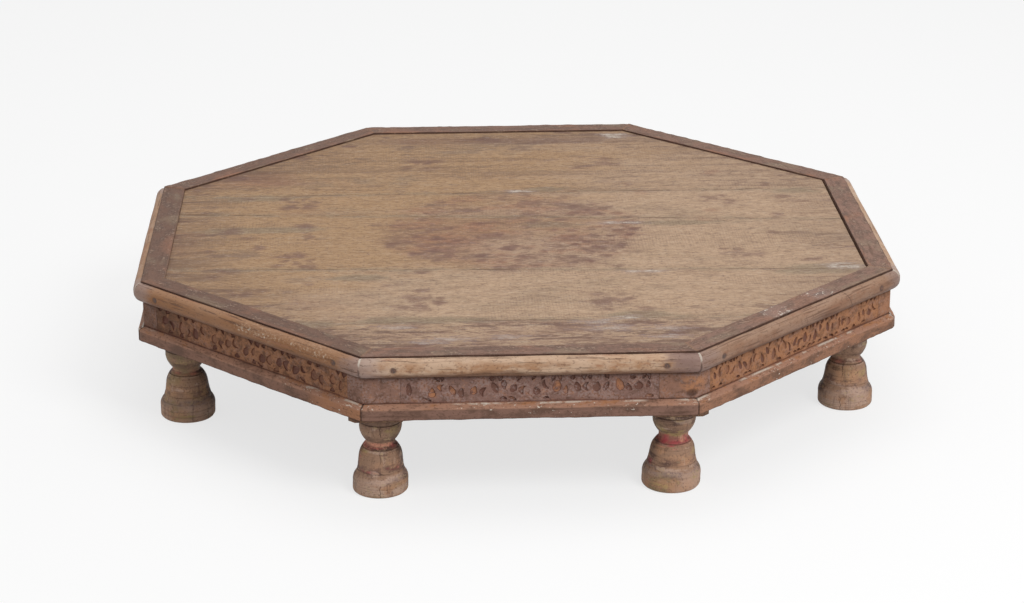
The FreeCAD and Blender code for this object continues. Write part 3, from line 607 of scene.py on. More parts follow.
def leg_finish(finish, over, cloud):
    """Turned wood with lathe rings and smears, red and coral paint at the neck and scored lines, painted
    highlights round the shoulder and on a ring below the neck, and painted shade on the flanks and under the
    base frame.
    """
    board, place, red, olive = finish.board()
    x, y, z = finish.parts(board)
    grain = cloud(place, (210, 210, 18), detail=4, rough=0.62)
    smears = cloud(place, (30, 30, 130), (3, 6, 1), detail=5, rough=0.64)
    mottle = cloud(place, (75, 75, 95), (7, 1, 4), detail=5, rough=0.66)
    patches = cloud(place, (24, 24, 34), (8, 2, 5), detail=3)
    specks = cloud(place, (430, 430, 430), (5, 8, 3), detail=3)
    rings = cloud(place, (5, 5, 620), (1, 1, 7), detail=3)
    rise = z + mottle.sway(0.008) + smears.sway(0.006)
    over("leg_tan", patches.spread(0.44, 0.60) * rise.near(42 * MM, 20 * MM, 8 * MM) * 0.8)
    over("leg_dark", smears.spread(0.50, 0.64) * 0.62)
    over("olive", (patches + olive * 0.2 + mottle.sway(0.5)).spread(0.54, 0.74) * 0.65)
    over("leg_tan", rise.spread(20 * MM, 14 * MM) * mottle.spread(0.60, 0.46) * 0.6)
    over("leg_pale", rise.spread(26 * MM, 20 * MM) * patches.spread(0.60, 0.42) * 0.55)
    # Painted highlight: a lilac-grey band round the shoulder
    over("lilac", rise.near(24.5 * MM, 6 * MM, MM) * smears.spread(0.44, 0.56) * 0.45)
    over("old_paint", rise.near(35 * MM, 7.5 * MM, MM) * mottle.spread(0.44, 0.58) * 0.7)
    # Painted shade: the leg is laid darker towards its top, under the base frame
    over("leg_dark", rise.spread(76 * MM, 92 * MM) * 0.55)
    over("leg_dark", rise.near(69 * MM, 6.5 * MM) * patches.spread(0.42, 0.56) * 0.6)

    hue = cloud(board, (48, 48, 90), (2, 5, 5), detail=4)
    low_band = (z + mottle.sway(0.003)).near(58.5 * MM, 2.1 * MM + red * (3 * MM), 0.6 * MM)
    high_band = z.near(62.5 * MM, 1.7 * MM, 0.8 * MM)
    left = (red + hue.sway(1.6)).spread(0.25, 0.70)
    over("leg_coral", high_band * left * red.spread(0.85, 0.65, 0.3, 0.85))
    over("leg_red", low_band * left * 0.55)
    over("leg_coral", low_band * left * hue.spread(0.54, 0.66) * 0.6)
    over("leg_dark", low_band * smears.spread(0.46, 0.58) * 0.5)
    # Painted highlight: a thin pale ring just below the scored line under the neck
    over("leg_pale", z.near(54.8 * MM, 0.9 * MM) * hue.spread(0.42, 0.52) * 0.6)
    brushed = smears.sway(3.2) + mottle.sway(2.4) + specks.sway(1.0)
    crimson, coral, moss = finish.parts(finish.vector("brushed"))
    dirt, pale, tan = finish.parts(finish.vector("stained"))
    over("leg_tan", (tan + brushed).spread(0.30, 1.00) * 0.75)
    # Dirt smears, and on the legs' flanks painted shade
    over("leg_dark", (dirt + brushed).spread(0.30, 1.00) * 0.78)
    over("leg_pale", (pale + brushed).spread(0.30, 1.00) * 0.80)
    over("moss", (moss + brushed).spread(0.30, 1.00) * 0.65)
    over("leg_red", (crimson + brushed * 0.5).spread(0.30, 0.95) * 0.82)
    over("leg_coral", (coral + brushed * 0.5).spread(0.35, 0.95) * 0.8)
    over("leg_pale", (grain + mottle.sway(0.6)).spread(0.62, 0.74) * 0.4)
    over("leg_dark", grain.spread(0.45, 0.32) * 0.4)
    over("leg_dark", rings.spread(0.56, 0.68) * 0.35)
    over("leg_dark", specks.spread(0.44, 0.32) * 0.5)
    # Painted highlight along the shoulder's edge at the top of the foot
    over("leg_pale", z.near(15 * MM, MM) * grain.spread(0.45, 0.6) * 0.5)
    scored = finish.most(z.near(56.3 * MM, 0.8 * MM) * 0.7, z.near(85.7 * MM, 1.1 * MM),
                         z.near(30.8 * MM, 0.8 * MM) * hue.spread(0.44, 0.56) * 0.4)
    over("recess", scored * 0.6)
    wander = x + cloud(board, (1, 1, 70), (3, 3, 3)).sway(10 * MM)
    crack = wander.near(0.0, 0.6 * MM) * y.spread(0.0, -4 * MM)
    crack = crack * finish.most(z.spread(20 * MM, 14 * MM) * 0.7, z.near(80 * MM, 8 * MM, 4 * MM),
                                z.near(50 * MM, 10 * MM, 6 * MM) * 0.6)
    over("recess", crack * 0.6)
    height = mottle * 0.5 + grain * 0.35 + rings * 0.45 + specks * 0.3 - crack * 1.2 - scored * 1.2
    finish.close(mottle.spread(0.3, 0.7, 0.72, 0.52), height, MM)


def plain_finish(finish, over, cloud):
    """Unpainted wood of the underside, dark where the bearers meet the base frame."""
    board, place, _, _ = finish.board()
    streaks = cloud(place, (170, 9, 170), detail=4, rough=0.62)
    mottle = cloud(place, (40, 18, 40), (9, 4, 1), detail=5, rough=0.62)
    fibres = cloud(place, (800, 44, 800), (3, 1, 2), detail=2)
    over("leg_dark", streaks.spread(0.36, 0.62) * 0.85)
    over("plank_warm", mottle.spread(0.52, 0.68) * 0.5)
    over("leg_dark", fibres.spread(0.50, 0.34) * 0.4)
    _, _, up = finish.parts(board)
    over("recess", up.near(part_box("bearer_right")[1].z, 2.2 * MM, 0.8 * MM) * 0.8)
    finish.close(0.85, streaks * 0.6 + fibres * 0.4 + mottle * 0.3, 0.9 * MM)


def iron_finish(finish, over, cloud):
    """Rusted iron."""
    place = Wire(finish, finish.node("ShaderNodeTexCoord").outputs["Object"])
    rust = cloud(place, (600, 600, 600), detail=5, rough=0.65)
    over("old_red", rust.spread(0.45, 0.65) * 0.6)
    finish.shader.inputs["Metallic"].default_value = 0.35
    finish.close(rust.spread(0.3, 0.7, 0.5, 0.9), rust, 0.4 * MM)


# Each finish with its ground colour and how much its surface shines
FINISHES = {
    "plank_wood": (plank_finish, "plank_warm", 0.15),
    "border_wood": (border_finish, "border", 0.18),
    "nosing_wood": (nosing_finish, "nosing", 0.3),
    "carved_wood": (carved_finish, "carved_purple", 0.15),
    "base_wood": (base_finish, "base_face", 0.18),
    "leg_wood": (leg_finish, "leg", 0.2),
    "plain_wood": (plain_finish, "plain", 0.15),
    "iron": (iron_finish, "iron", 0.5),
}


def finish_of(name, context):
    """The material of a finish, made when it is first asked for."""
    found = bpy.data.materials.get("old_" + name)
    if found:
        return found
    lay, ground, specular = FINISHES[name]
    finish = Finish("old_" + name, context.scene, ground, specular)
    lay(finish, finish.over, finish.cloud)
    return finish.material


def side_box(node, turn):
    """A frame node's lowest and highest corners in a side's own axes: out, along and up."""
    back = Matrix.Rotation(-turn, 3, "Z")
    places = [back @ vertex.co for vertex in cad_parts[node].data.vertices]
    lowest = Vector([min(place[axis] for place in places) for axis in range(3)])
    highest = Vector([max(place[axis] for place in places) for axis in range(3)])
    return lowest, highest


def boards(kind):
    """For each side: its number, its name, and a kind of frame node with its box in its own axes."""
    for side, name in enumerate(SIDE_NAMES):
        low, high = side_box(kind + name, side * SIDE_TURN)
        yield side, name, kind + name, low, high


def drawn_section(corners, roundings, spacing):
    """The closed outline of a board's section: each corner rounded, and no edge over spacing."""
    mesh = bmesh.new()
    points = [mesh.verts.new((out, 0, up)) for out, up in corners]
    mesh.faces.new(points)
    for point, (rounding, segments) in zip(points, roundings):
        if rounding:
            bmesh.ops.bevel(mesh, geom=[point], offset=rounding, segments=segments, profile=0.5,
                            affect="VERTICES", material=-1)
    bmesh.ops.delete(mesh, geom=mesh.faces[:], context="FACES_ONLY")
    for edge in mesh.edges[:]:
        cuts = int(edge.calc_length() / spacing)
        if cuts:
            bmesh.ops.subdivide_edges(mesh, edges=[edge], cuts=cuts)
    return mesh


def mitred_board(corners, roundings, spacing, reach, across_spacing, corner_round):
    """A board of one side, its section drawn out along the side and mitred at both ends, with
    the table's upright corner rounded over it."""
    mesh = drawn_section(corners, roundings, across_spacing)
    steps = max(2, int(2 * reach / spacing))
    bmesh.ops.translate(mesh, verts=mesh.verts[:], vec=(0, -1, 0))
    bmesh.ops.spin(mesh, geom=mesh.edges[:], cent=(0, 0, 0), axis=(0, 0, 1), dvec=(0, 2 / steps, 0),
                   angle=0, steps=steps, use_duplicate=False)
    for end in (-1, 1):
        rim = [edge for edge in mesh.edges
               if all(abs(vertex.co.y - end) < 0.25 / steps for vertex in edge.verts)]
        bmesh.ops.contextual_create(mesh, geom=rim)
    outs = [corner[0] for corner in corners]
    inner, outer = min(outs), max(outs)
    tangent = corner_round * HALF_SIDE_SHARE
    for vertex in mesh.verts:
        share = vertex.co.y
        to_corner = (1 - abs(share)) * vertex.co.x * HALF_SIDE_SHARE
        if to_corner < tangent:
            outwards = (vertex.co.x - inner) / (outer - inner)
            vertex.co.x -= outwards * (tangent - to_corner) ** 2 / (2 * corner_round)
        joint = MITRE_GAP if abs(share) > 1 - 0.5 / steps else 0
        vertex.co.y = share * (vertex.co.x * HALF_SIDE_SHARE - joint)
    return mesh


def new_layers(mesh, numbers=(), vectors=()):
    """New numbers, and then new places or threes of numbers, that every point can carry."""
    layers = mesh.verts.layers
    return [layers.float.new(name) for name in numbers] + [layers.float_vector.new(name) for name in vectors]


def stretch(place, ends):
    """1 between two ends, falling to 0 within a centimetre past them."""
    past = max(ends[0] * MM - place, place - ends[1] * MM, 0)
    return max(0.0, 1 - past / (10 * MM))


def weather(mesh, sizes, node, tone, wave=1.0, chip=1.0, axes=(0, 1, 2), flecked=lambda place: 0):
    """Mark every point with its place on the board, its lot, tone, flecks and how worn it is,
    and move it by a slow wave and, at the edges, in by wear and chips."""
    wear, board, stock = new_layers(mesh, ["wear"], ["board", "stock"])
    mesh.normal_update()
    lot = LOTS[node]
    shift = Vector((lot * 3.7, lot * 1.9, lot * 5.3))
    for vertex in mesh.verts:
        normal = vertex.normal
        edge = min(1.0, EDGE_GAIN * (1 - max(abs(part) for part in normal)))
        vertex[board] = [vertex.co[axis] for axis in axes]
        vertex[stock] = (lot, tone, flecked(vertex.co))
        vertex[wear] = edge
        slow = noise.noise(vertex.co / WAVE_LENGTH + shift) * sizes.wave * wave
        rough = max(0.0, noise.noise(vertex.co / CHIP_LENGTH + shift) + 0.15) * sizes.chip * chip * edge
        fine = noise.noise(vertex.co / FIBRE_LENGTH + shift) * 0.12 * sizes.wave * wave
        vertex.co += normal * (slow + fine - rough)


def smooth_faces(mesh):
    """Shade the faces smooth, apart from the edges that are sharp."""
    for face in mesh.faces:
        face.smooth = True
    for edge in mesh.edges:
        edge.smooth = edge.calc_face_angle(0) < SHARP_ANGLE


def new_object(context, name, data):
    made = bpy.data.objects.new(name, data)
    context.scene.collection.objects.link(made)
    return made


def place_piece(context, mesh, name, wood, node, turn=0.0):
    """Turn a side's piece into place and make it an object that stands for its frame node."""
    bmesh.ops.rotate(mesh, verts=mesh.verts[:], cent=(0, 0, 0), matrix=Matrix.Rotation(turn, 3, "Z"))
    bmesh.ops.recalc_face_normals(mesh, faces=mesh.faces[:])
    smooth_faces(mesh)
    data = bpy.data.meshes.new(name)
    mesh.to_mesh(data)
    mesh.free()
    data.materials.append(finish_of(wood, context))
    piece = new_object(context, name, data)
    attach(piece, ROOT)
    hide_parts(node)


def merged_solid(node):
    """A frame node's own solid, its loose triangles merged."""
    mesh = bmesh.new()
    mesh.from_mesh(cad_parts[node].data)
    bmesh.ops.remove_doubles(mesh, verts=mesh.verts[:], dist=MERGE_DISTANCE)
    return mesh


def hull_of(node):
    """A frame node without its nail holes: the clean solid that wraps it."""
    mesh = merged_solid(node)
    places = [vertex.co.copy() for vertex in mesh.verts]
    mesh.free()
    hull = bmesh.new()
    for place in places:
        hull.verts.new(place)
    made = bmesh.ops.convex_hull(hull, input=hull.verts[:])
    spare = [item for item in made["geom_interior"] + made["geom_unused"]
             if isinstance(item, bmesh.types.BMVert) and item.is_valid]
    bmesh.ops.delete(hull, geom=list(set(spare)), context="VERTS")
    bmesh.ops.dissolve_limit(hull, angle_limit=FLAT_ANGLE, verts=hull.verts[:], edges=hull.edges[:])
    return hull


def solid_of(node, turn=0.0):
    """A frame node's own solid with its flat faces whole, in its side's axes."""
    mesh = merged_solid(node)
    bmesh.ops.rotate(mesh, verts=mesh.verts[:], cent=(0, 0, 0), matrix=Matrix.Rotation(-turn, 3, "Z"))
    bmesh.ops.dissolve_limit(mesh, angle_limit=FLAT_ANGLE, verts=mesh.verts[:], edges=mesh.edges[:])
    return mesh


def round_edges(mesh, radius, shortest):
    """Round the sharp edges of a solid, apart from the short ones round its holes."""
    edges = [edge for edge in mesh.edges
             if edge.calc_face_angle(0) > SHARP_ANGLE / 2 and edge.calc_length() > shortest]
    bmesh.ops.bevel(mesh, geom=edges, offset=radius, segments=2, profile=0.5, affect="EDGES",
                    clamp_overlap=True, material=-1)


def cut_in_steps(mesh, axis, spacing):
    """Cut the faces across one axis at even steps, so that a wave can bend them."""
    low = min(vertex.co[axis] for vertex in mesh.verts)
    high = max(vertex.co[axis] for vertex in mesh.verts)
    count = int((high - low) / spacing)
    for step in range(1, count):
        place = Vector((0, 0, 0))
        normal = Vector((0, 0, 0))
        place[axis] = low + (high - low) * step / count
        normal[axis] = 1
        bmesh.ops.bisect_plane(mesh, geom=mesh.verts[:] + mesh.edges[:] + mesh.faces[:],
                               plane_co=place, plane_no=normal, dist=MERGE_DISTANCE)


class TABLE_OT_planks(bpy.types.Operator):
    """Lay the five worn planks of the top"""
    bl_idname = "table.planks"
    bl_label = "Top planks"
    # How dark and dirty each plank is, from the back one to the front one
    tones = (0.35, 0.0, 0.0, 0.0, 0.9)
    cell = 6 * MM
    seam_reach = 12 * MM
    seam_slope = 0.25
    last_seam = 410 * MM
    seam_fill = 0.36 * MM
    groove_start = 400 * MM
    groove_fill = 1.6 * MM
    joint_start = 417.5 * MM
    joint_fill = 0.45 * MM
    flower_ring = 297
    flower_spread = 28
    corner_chalk = 428
    chalky_corners = (1, 7)
    # Where smears are drawn, in millimetres: kind, count, and the ranges of x, y and both reaches
    smear_areas = (
        ("paint", 18, (-175, 175), (-165, 175), (7, 12), (6, 11)),
        ("paint", 16, (-405, -240), (-210, 240), (7, 15), (6, 12)),
        ("paint", 8, (290, 365), (-200, 170), (7, 15), (6, 10)),
        ("paint", 6, (-290, -60), (-320, -200), (7, 12), (6, 9)),
        ("orange", 2, (-370, -310), (195, 250), (35, 60), (18, 30)),
        ("orange", 4, (-200, -30), (-60, 20), (25, 50), (22, 40)),
        ("orange", 4, (20, 280), (-270, 280), (10, 13), (8, 12)),
        ("chalk", 8, (-240, 240), (-400, -340), (20, 34), (5, 9)))
    # Smears along each seam: count, range of x, how far from the seam, and ranges of both reaches
    seam_smears = {"grey": (3, (-400, 400), 14, (30, 85), (9, 15)),
                   "chalk": (1, (-80, 160), 5, (20, 45), (4, 6))}

    def drawn_smears(self):
        """Smears by kind, each its middle and its reach along x and y: what is left of a painted
        flower towards each corner and of smaller ones, tints, and dirt along the seams."""
        drawn = np.random.default_rng(5208)
        smears = {"paint": [], "grey": [], "orange": [], "chalk": []}

        def scatter(kind, count, xs, ys, reaches_x, reaches_y):
            for _ in range(count):
                smears[kind].append([drawn.uniform(*ends) for ends in (xs, ys, reaches_x, reaches_y)])
        for area in self.smear_areas:
            scatter(*area)
        for corner in range(8):
            turn = (corner + 0.5) * SIDE_TURN
            x, y = self.flower_ring * math.cos(turn), self.flower_ring * math.sin(turn)
            spread = self.flower_spread
            scatter("paint", 6, (x - spread, x + spread), (y - spread, y + spread), (7, 14), (6, 11))
            if corner in self.chalky_corners:
                share = self.corner_chalk / self.flower_ring
                scatter("chalk", 2, (x * share - 12, x * share + 12), (y * share - 6, y * share + 6),
                        (16, 26), (7, 14))
        for name in PLANK_NAMES[:-1]:
            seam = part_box("top_plank_" + name)[0].y / MM
            for kind, (count, xs, away, reaches_x, reaches_y) in self.seam_smears.items():
                scatter(kind, count, xs, (seam - away, seam + away), reaches_x, reaches_y)
        return smears.values()

    def mark_smears(self, mesh, smears):
        """Write on each point how much paint, grey film, orange tint and chalk smears it."""
        chalky, mixed = new_layers(mesh, ["chalky"], ["smears"])
        places = np.array([vertex.co.xy for vertex in mesh.verts]) / MM
        totals = []
        for kind in smears:
            total = np.zeros(len(places))
            for x, y, reach_x, reach_y in kind:
                out = ((places[:, 0] - x) / reach_x) ** 2 + ((places[:, 1] - y) / reach_y) ** 2
                total = np.maximum(total, np.exp(-0.8 * out))
            totals.append(total)
        for vertex, paint, grey, orange, chalk in zip(mesh.verts, *totals):
            vertex[mixed] = (paint, grey, orange)
            vertex[chalky] = chalk

    def seam_closeness(self, mesh):
        """A rule for how close a place is to the plank's long seams: 1 on one, 0 past its reach."""
        top = max(vertex.co.z for vertex in mesh.verts)
        seams = []
        for edge in mesh.edges:
            first, second = (vertex.co for vertex in edge.verts)
            run = second - first
            on_top = min(first.z, second.z) > top - MM
            lengthwise = abs(run.y) < self.seam_slope * abs(run.x)
            if on_top and lengthwise and abs(first.y + second.y) / 2 < self.last_seam:
                seams.append((first.copy(), run.normalized()))

        def closeness(place):
            distances = [abs(run.x * (place.y - start.y) - run.y * (place.x - start.x))
                         for start, run in seams]
            return max(0.0, 1 - min(distances) / self.seam_reach)
        return closeness

    def close_gaps(self, mesh):
        """Widen a plank so that dirt nearly fills its seams, the groove at the right and, on the
        left and in front, the joint to the border."""
        ys = [vertex.co.y for vertex in mesh.verts]
        middle, width = (max(ys) + min(ys)) / 2, max(ys) - min(ys)
        for vertex in mesh.verts:
            vertex.co.y += (vertex.co.y - middle) * 2 * self.seam_fill / width
            if vertex.co.x > self.groove_start:
                vertex.co.x += self.groove_fill
            for side in range(SIDE_NAMES.index("left"), len(SIDE_NAMES)):
                outwards = Vector((math.cos(side * SIDE_TURN), math.sin(side * SIDE_TURN), 0))
                if vertex.co.dot(outwards) > self.joint_start:
                    vertex.co += outwards * self.joint_fill

    def execute(self, context):
        sizes = context.scene.table_sizes
        smears = self.drawn_smears()
        for name, tone in zip(PLANK_NAMES, self.tones):
            node = "top_plank_" + name
            mesh = hull_of(node)
            closeness = self.seam_closeness(mesh)
            self.close_gaps(mesh)
            round_edges(mesh, sizes.arris * 0.25, 0)
            cut_in_steps(mesh, 1, self.cell)
            cut_in_steps(mesh, 0, self.cell)
            weather(mesh, sizes, node, tone, wave=0.6, chip=0.4, axes=(1, 0, 2), flecked=closeness)
            self.mark_smears(mesh, smears)
            place_piece(context, mesh, "worn_plank_" + name, "plank_wood", node)
        return {"FINISHED"}


class TABLE_OT_border(bpy.types.Operator):
    """Fit the eight mitred boards of the border, with the ledge that carries the planks"""
    bl_idname = "table.border"
    bl_label = "Border"
    # How dark each board is, from the right side's one round to the front right one
    tones = (0.0, 0.1, 0.25, 0.35, 0.54, 0.56, 0.2, 0.1)
    # Where the front right board has pale specks, chalk and painted glints, in millimetres from its middle
    flecked_and_glinting_node = "border_diagonal_front_right"
    flecked_and_glinting_parts = ((-38, -14), (44, 66))

    def execute(self, context):
        sizes = context.scene.table_sizes
        ledge_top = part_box("top_plank_middle")[0].z
        for side, name, node, low, high in boards("border_"):
            inner = high.x - sizes.border_width
            corners = [(low.x, low.z), (high.x, low.z), (high.x, high.z), (inner, high.z),
                       (inner, ledge_top), (low.x, ledge_top)]
            square, outer, worn = (0, 0), (sizes.arris * 0.6, 2), (sizes.arris, 3)
            mesh = mitred_board(corners, [square, square, outer, worn, square, square],
                                sizes.mesh_step * 0.75, high.y, 3 * MM, MM)
            parts = self.flecked_and_glinting_parts if node == self.flecked_and_glinting_node else ()
            weather(mesh, sizes, node, self.tones[side], wave=0.9,
                    flecked=lambda place: sum(stretch(place.y, ends) for ends in parts))
            place_piece(context, mesh, "border_board_" + name, "border_wood", node, side * SIDE_TURN)
        return {"FINISHED"}


class TABLE_OT_nosing(bpy.types.Operator):
    """Nail the eight rounded strips round the border"""
    bl_idname = "table.nosing"
    bl_label = "Nosing"
    # How orange each strip is
    tones = (0.3, 0.2, 0.3, 0.7, 0.8, 0.95, 0.0, 0.6)
    # How far each strip has sunk, and where one of them has chalky specks and painted glints, in millimetres
    sunk = (0.0, 0.3, 0.0, 0.2, 0.1, -0.1, 0.0, 0.25)
    chalky_and_glinting_node = "nosing_diagonal_front_left"
    chalky_and_glinting_part = (-9, 146)
    corner_round = 22 * MM
    dent_start = 452 * MM
    dent_reach = 5 * MM
    dent_depth = 1.0 * MM

    def dent_nails(self, mesh):
        """Press in the wood round the two nails of a strip."""
        for vertex in mesh.verts:
            if vertex.co.x > self.dent_start:
                away = math.hypot(abs(vertex.co.y) - NAIL_ALONG, vertex.co.z - NAIL_UP)
                vertex.co.x -= self.dent_depth * max(0.0, 1 - (away / self.dent_reach) ** 2)

    def execute(self, context):
        sizes = context.scene.table_sizes
        for side, name, node, low, high in boards("nosing_"):
            corners = [(low.x, low.z), (high.x, low.z), (high.x, high.z), (low.x, high.z)]
            curved = (sizes.nosing_round, 8)
            mesh = mitred_board(corners, [(0.6 * MM, 1), curved, curved, (0.8 * MM, 2)],
                                sizes.mesh_step * 0.6, high.y, 2 * MM, self.corner_round)
            chalky = node == self.chalky_and_glinting_node
            weather(mesh, sizes, node, self.tones[side], wave=1.4, chip=0.0,
                    flecked=lambda place: stretch(place.y, self.chalky_and_glinting_part) if chalky else 0)
            self.dent_nails(mesh)
            bmesh.ops.translate(mesh, verts=mesh.verts[:], vec=(0, 0, -self.sunk[side] * MM))
            place_piece(context, mesh, "nosing_strip_" + name, "nosing_wood", node, side * SIDE_TURN)
        return {"FINISHED"}


def gouge_cuts(half_length, height, pitch, side, breadth):
    """The gouge cuts of a carved vine: each one's middle along and up the board, its half
    length and half width, lean, taper, bend and paint. Leaves stand in the middle, small cuts
    hug the upper and the lower edge."""
    draw = np.random.default_rng(1200 + side).uniform
    count = int(2 * half_length / pitch)
    step = 2 * half_length / count
    cuts = []

    def cut(along, up, half, width, lean, taper, bend, paint, chance=1.0):
        if draw(0, 1) < chance:
            cuts.append((along, up * height, half * height, width * breadth * step,
                         lean, taper, bend * step, paint))
    for index in range(count):
        middle = -half_length + (index + 0.5) * step + draw(-0.12, 0.12) * step
        lean = draw(-0.35, 0.35) + (0.3 if index % 2 else -0.3)
        cut(middle - 0.20 * step, draw(-0.14, 0.08), draw(0.15, 0.25), draw(0.12, 0.21), lean,
            draw(-0.8, 0.1), 0.0, draw(0, 1))
        cut(middle + 0.24 * step, draw(-0.16, 0.14), draw(0.13, 0.22), draw(0.07, 0.14),
            lean + draw(-0.3, 0.6), draw(-0.5, 0.4), draw(-0.14, 0.24), draw(0, 1), 0.9)
        for place in (-0.42, 0.02, 0.36):
            cut(middle + (place + draw(-0.1, 0.1)) * step, draw(0.33, 0.40), draw(0.07, 0.16),
                draw(0.07, 0.14), draw(-0.6, 0.6), 0.6, 0.0, draw(0, 0.6), 0.5)
        for place in (-0.30, 0.24):
            cut(middle + (place + draw(-0.12, 0.12)) * step, -0.38, draw(0.10, 0.16),
                draw(0.05, 0.09), math.pi / 2 + draw(-0.4, 0.4), 0.2, 0.05, draw(0, 0.9), 0.55)
    return cuts


def carve(mesh, verts, face_out, up_middle, cuts, depth):
    """Press the gouge cuts into a face: each point goes in by the deepest cut over it, steep at
    the cut's rim and deepest towards its top. Its carve and paint numbers say where a cut is."""
    carved, tinted = mesh.verts.layers.float["carve"], mesh.verts.layers.float["paint"]
    along = np.array([vertex.co.y for vertex in verts])
    up = np.array([vertex.co.z - up_middle for vertex in verts])
    rim_length = 2.8 * MM
    rim_raggedness = 0.16
    rim_steepness = 3.2
    end_steepness = 3.0
    shallow_end = 0.28
    ragged = np.array([noise.noise(vertex.co / rim_length) for vertex in verts]) * rim_raggedness
    deepest = np.zeros(len(verts))
    slope = np.zeros(len(verts))
    paint = np.zeros(len(verts))
    for middle, high, half, width, lean, taper, bend, tint in cuts:
        near = np.abs(along - middle) < half + width + abs(bend)
        a, u = along[near] - middle, up[near] - high
        run = (a * math.sin(lean) + u * math.cos(lean)) / half
        off = a * math.cos(lean) - u * math.sin(lean) - bend * (run ** 2 - 0.5)
        inside = np.clip(1 - run ** 2, 0, 1)
        reach = np.maximum(width * inside ** 0.75 * (1 + taper * run), 1e-6)
        share = np.clip((1 - np.abs(off) / reach + ragged[near]) * rim_steepness, 0, 1)
        share *= np.clip(inside * end_steepness, 0, 1)
        deeper = share > deepest[near]
        picked = np.flatnonzero(near)[deeper]
        deepest[picked] = share[deeper]
        slope[picked] = (1 - shallow_end + shallow_end * run)[deeper]
        paint[picked] = tint
    for vertex, share, lean, tint in zip(verts, deepest, slope, paint):
        vertex[carved] = share
        vertex[tinted] = tint
        vertex.co.x = face_out - depth * share * lean


class TABLE_OT_friezes(bpy.types.Operator):
    """Carve the eight boards of the apron with a vine of gouge cuts"""
    bl_idname = "table.friezes"
    bl_label = "Carved boards"
    # For each board: how orange it is, how dark its cuts' walls are laid as dirt, paint and painted shade,
    # and the pitch and breadth of its vine
    tones = (0.7, 0.8, 0.3, 0.5, 0.4, 0.9, 0.0, 1.0)
    sharpness = (0.7, 0.6, 0.8, 0.8, 0.8, 0.9, 0.7, 0.65)
    pitch_shares = (1, 1, 1, 1.1, 1.2, 1.15, 1, 0.9)
    breadths = (1, 1, 1, 1, 1.1, 1.25, 1.15, 1)
    end_gap = 0.05 * MM
    plain_end = 4 * MM
    sunk = 0.4 * MM

    def face(self, mesh, sizes, low, high):
        """A fine flat grid for a board's face, a hair short of the posts at both ends."""
        length_along = high.y - low.y
        height = high.z - low.z
        bmesh.ops.create_grid(mesh, x_segments=int(length_along / sizes.carve_step),
                              y_segments=int(height / sizes.carve_step), size=0.5)
        for vertex in mesh.verts:
            vertex.co = (high.x, vertex.co.x * (length_along - 2 * self.end_gap),
                         (high.z + low.z) / 2 + vertex.co.y * height)

    def close_back(self, mesh, board, inner):
        """Draw the face's rim in to the board's back and close it there."""
        rim = [edge for edge in mesh.edges if edge.is_boundary]
        sides = bmesh.ops.extrude_edge_only(mesh, edges=rim)["geom"]
        for vertex in [item for item in sides if isinstance(item, bmesh.types.BMVert)]:
            vertex.co.x = inner
            vertex[board] = vertex.co
        back_rim = [item for item in sides if isinstance(item, bmesh.types.BMEdge) and item.is_boundary]
        bmesh.ops.contextual_create(mesh, geom=back_rim)

    def execute(self, context):
        sizes = context.scene.table_sizes
        for side, name, node, low, high in boards("frieze_"):
            mesh = bmesh.new()
            _, _, board, stock = new_layers(mesh, ["carve", "paint"], ["board", "stock"])
            self.face(mesh, sizes, low, high)
            height = high.z - low.z
            cuts = gouge_cuts((high.y - low.y) / 2 - self.plain_end, height,
                              sizes.carve_pitch * self.pitch_shares[side], side, self.breadths[side])
            carve(mesh, mesh.verts[:], high.x, (high.z + low.z) / 2, cuts, sizes.carve_depth)
            shift = Vector((side * 3.7, 5.1, side * 1.3))
            for vertex in mesh.verts:
                vertex[board] = vertex.co
                vertex[stock] = (LOTS[node], self.tones[side], self.sharpness[side])
                slow = noise.noise(vertex.co / (20 * MM) + shift) * 0.35 * MM
                fine = noise.noise(vertex.co / (4 * MM) + shift) * 0.2 * MM
                vertex.co.x += slow + fine - self.sunk
            self.close_back(mesh, board, low.x)
            place_piece(context, mesh, "carved_board_" + name, "carved_wood", node, side * SIDE_TURN)
        return {"FINISHED"}


class TABLE_OT_posts(bpy.types.Operator):
    """Stand the eight plain corner posts between the carved boards"""
    bl_idname = "table.posts"
    bl_label = "Corner posts"
    # How orange each post is, and how dark: written where the carved boards have their sharpness
    tones = (0.6, 0.4, 0.3, 0.4, 0.25, 0.15, 0.3, 0.7)
    shades = (0.1, 0.2, 0.2, 0.3, 0.45, 0.1, 0.1, 0.0)

    def execute(self, context):
        sizes = context.scene.table_sizes
        for number, name in enumerate(CORNER_NAMES):
            node = "corner_post_" + name
            side = 2 * ((number + 1) // 2) % 8
            mesh = solid_of(node, side * SIDE_TURN)
            round_edges(mesh, sizes.arris * 0.8, 8 * MM)
            cut_in_steps(mesh, 2, 4 * MM)
            cut_in_steps(mesh, 1, 4 * MM)
            weather(mesh, sizes, node, self.tones[number], wave=0.5,
                    flecked=lambda place: self.shades[number])
            place_piece(context, mesh, "post_" + name, "carved_wood", node, side * SIDE_TURN)
        return {"FINISHED"}


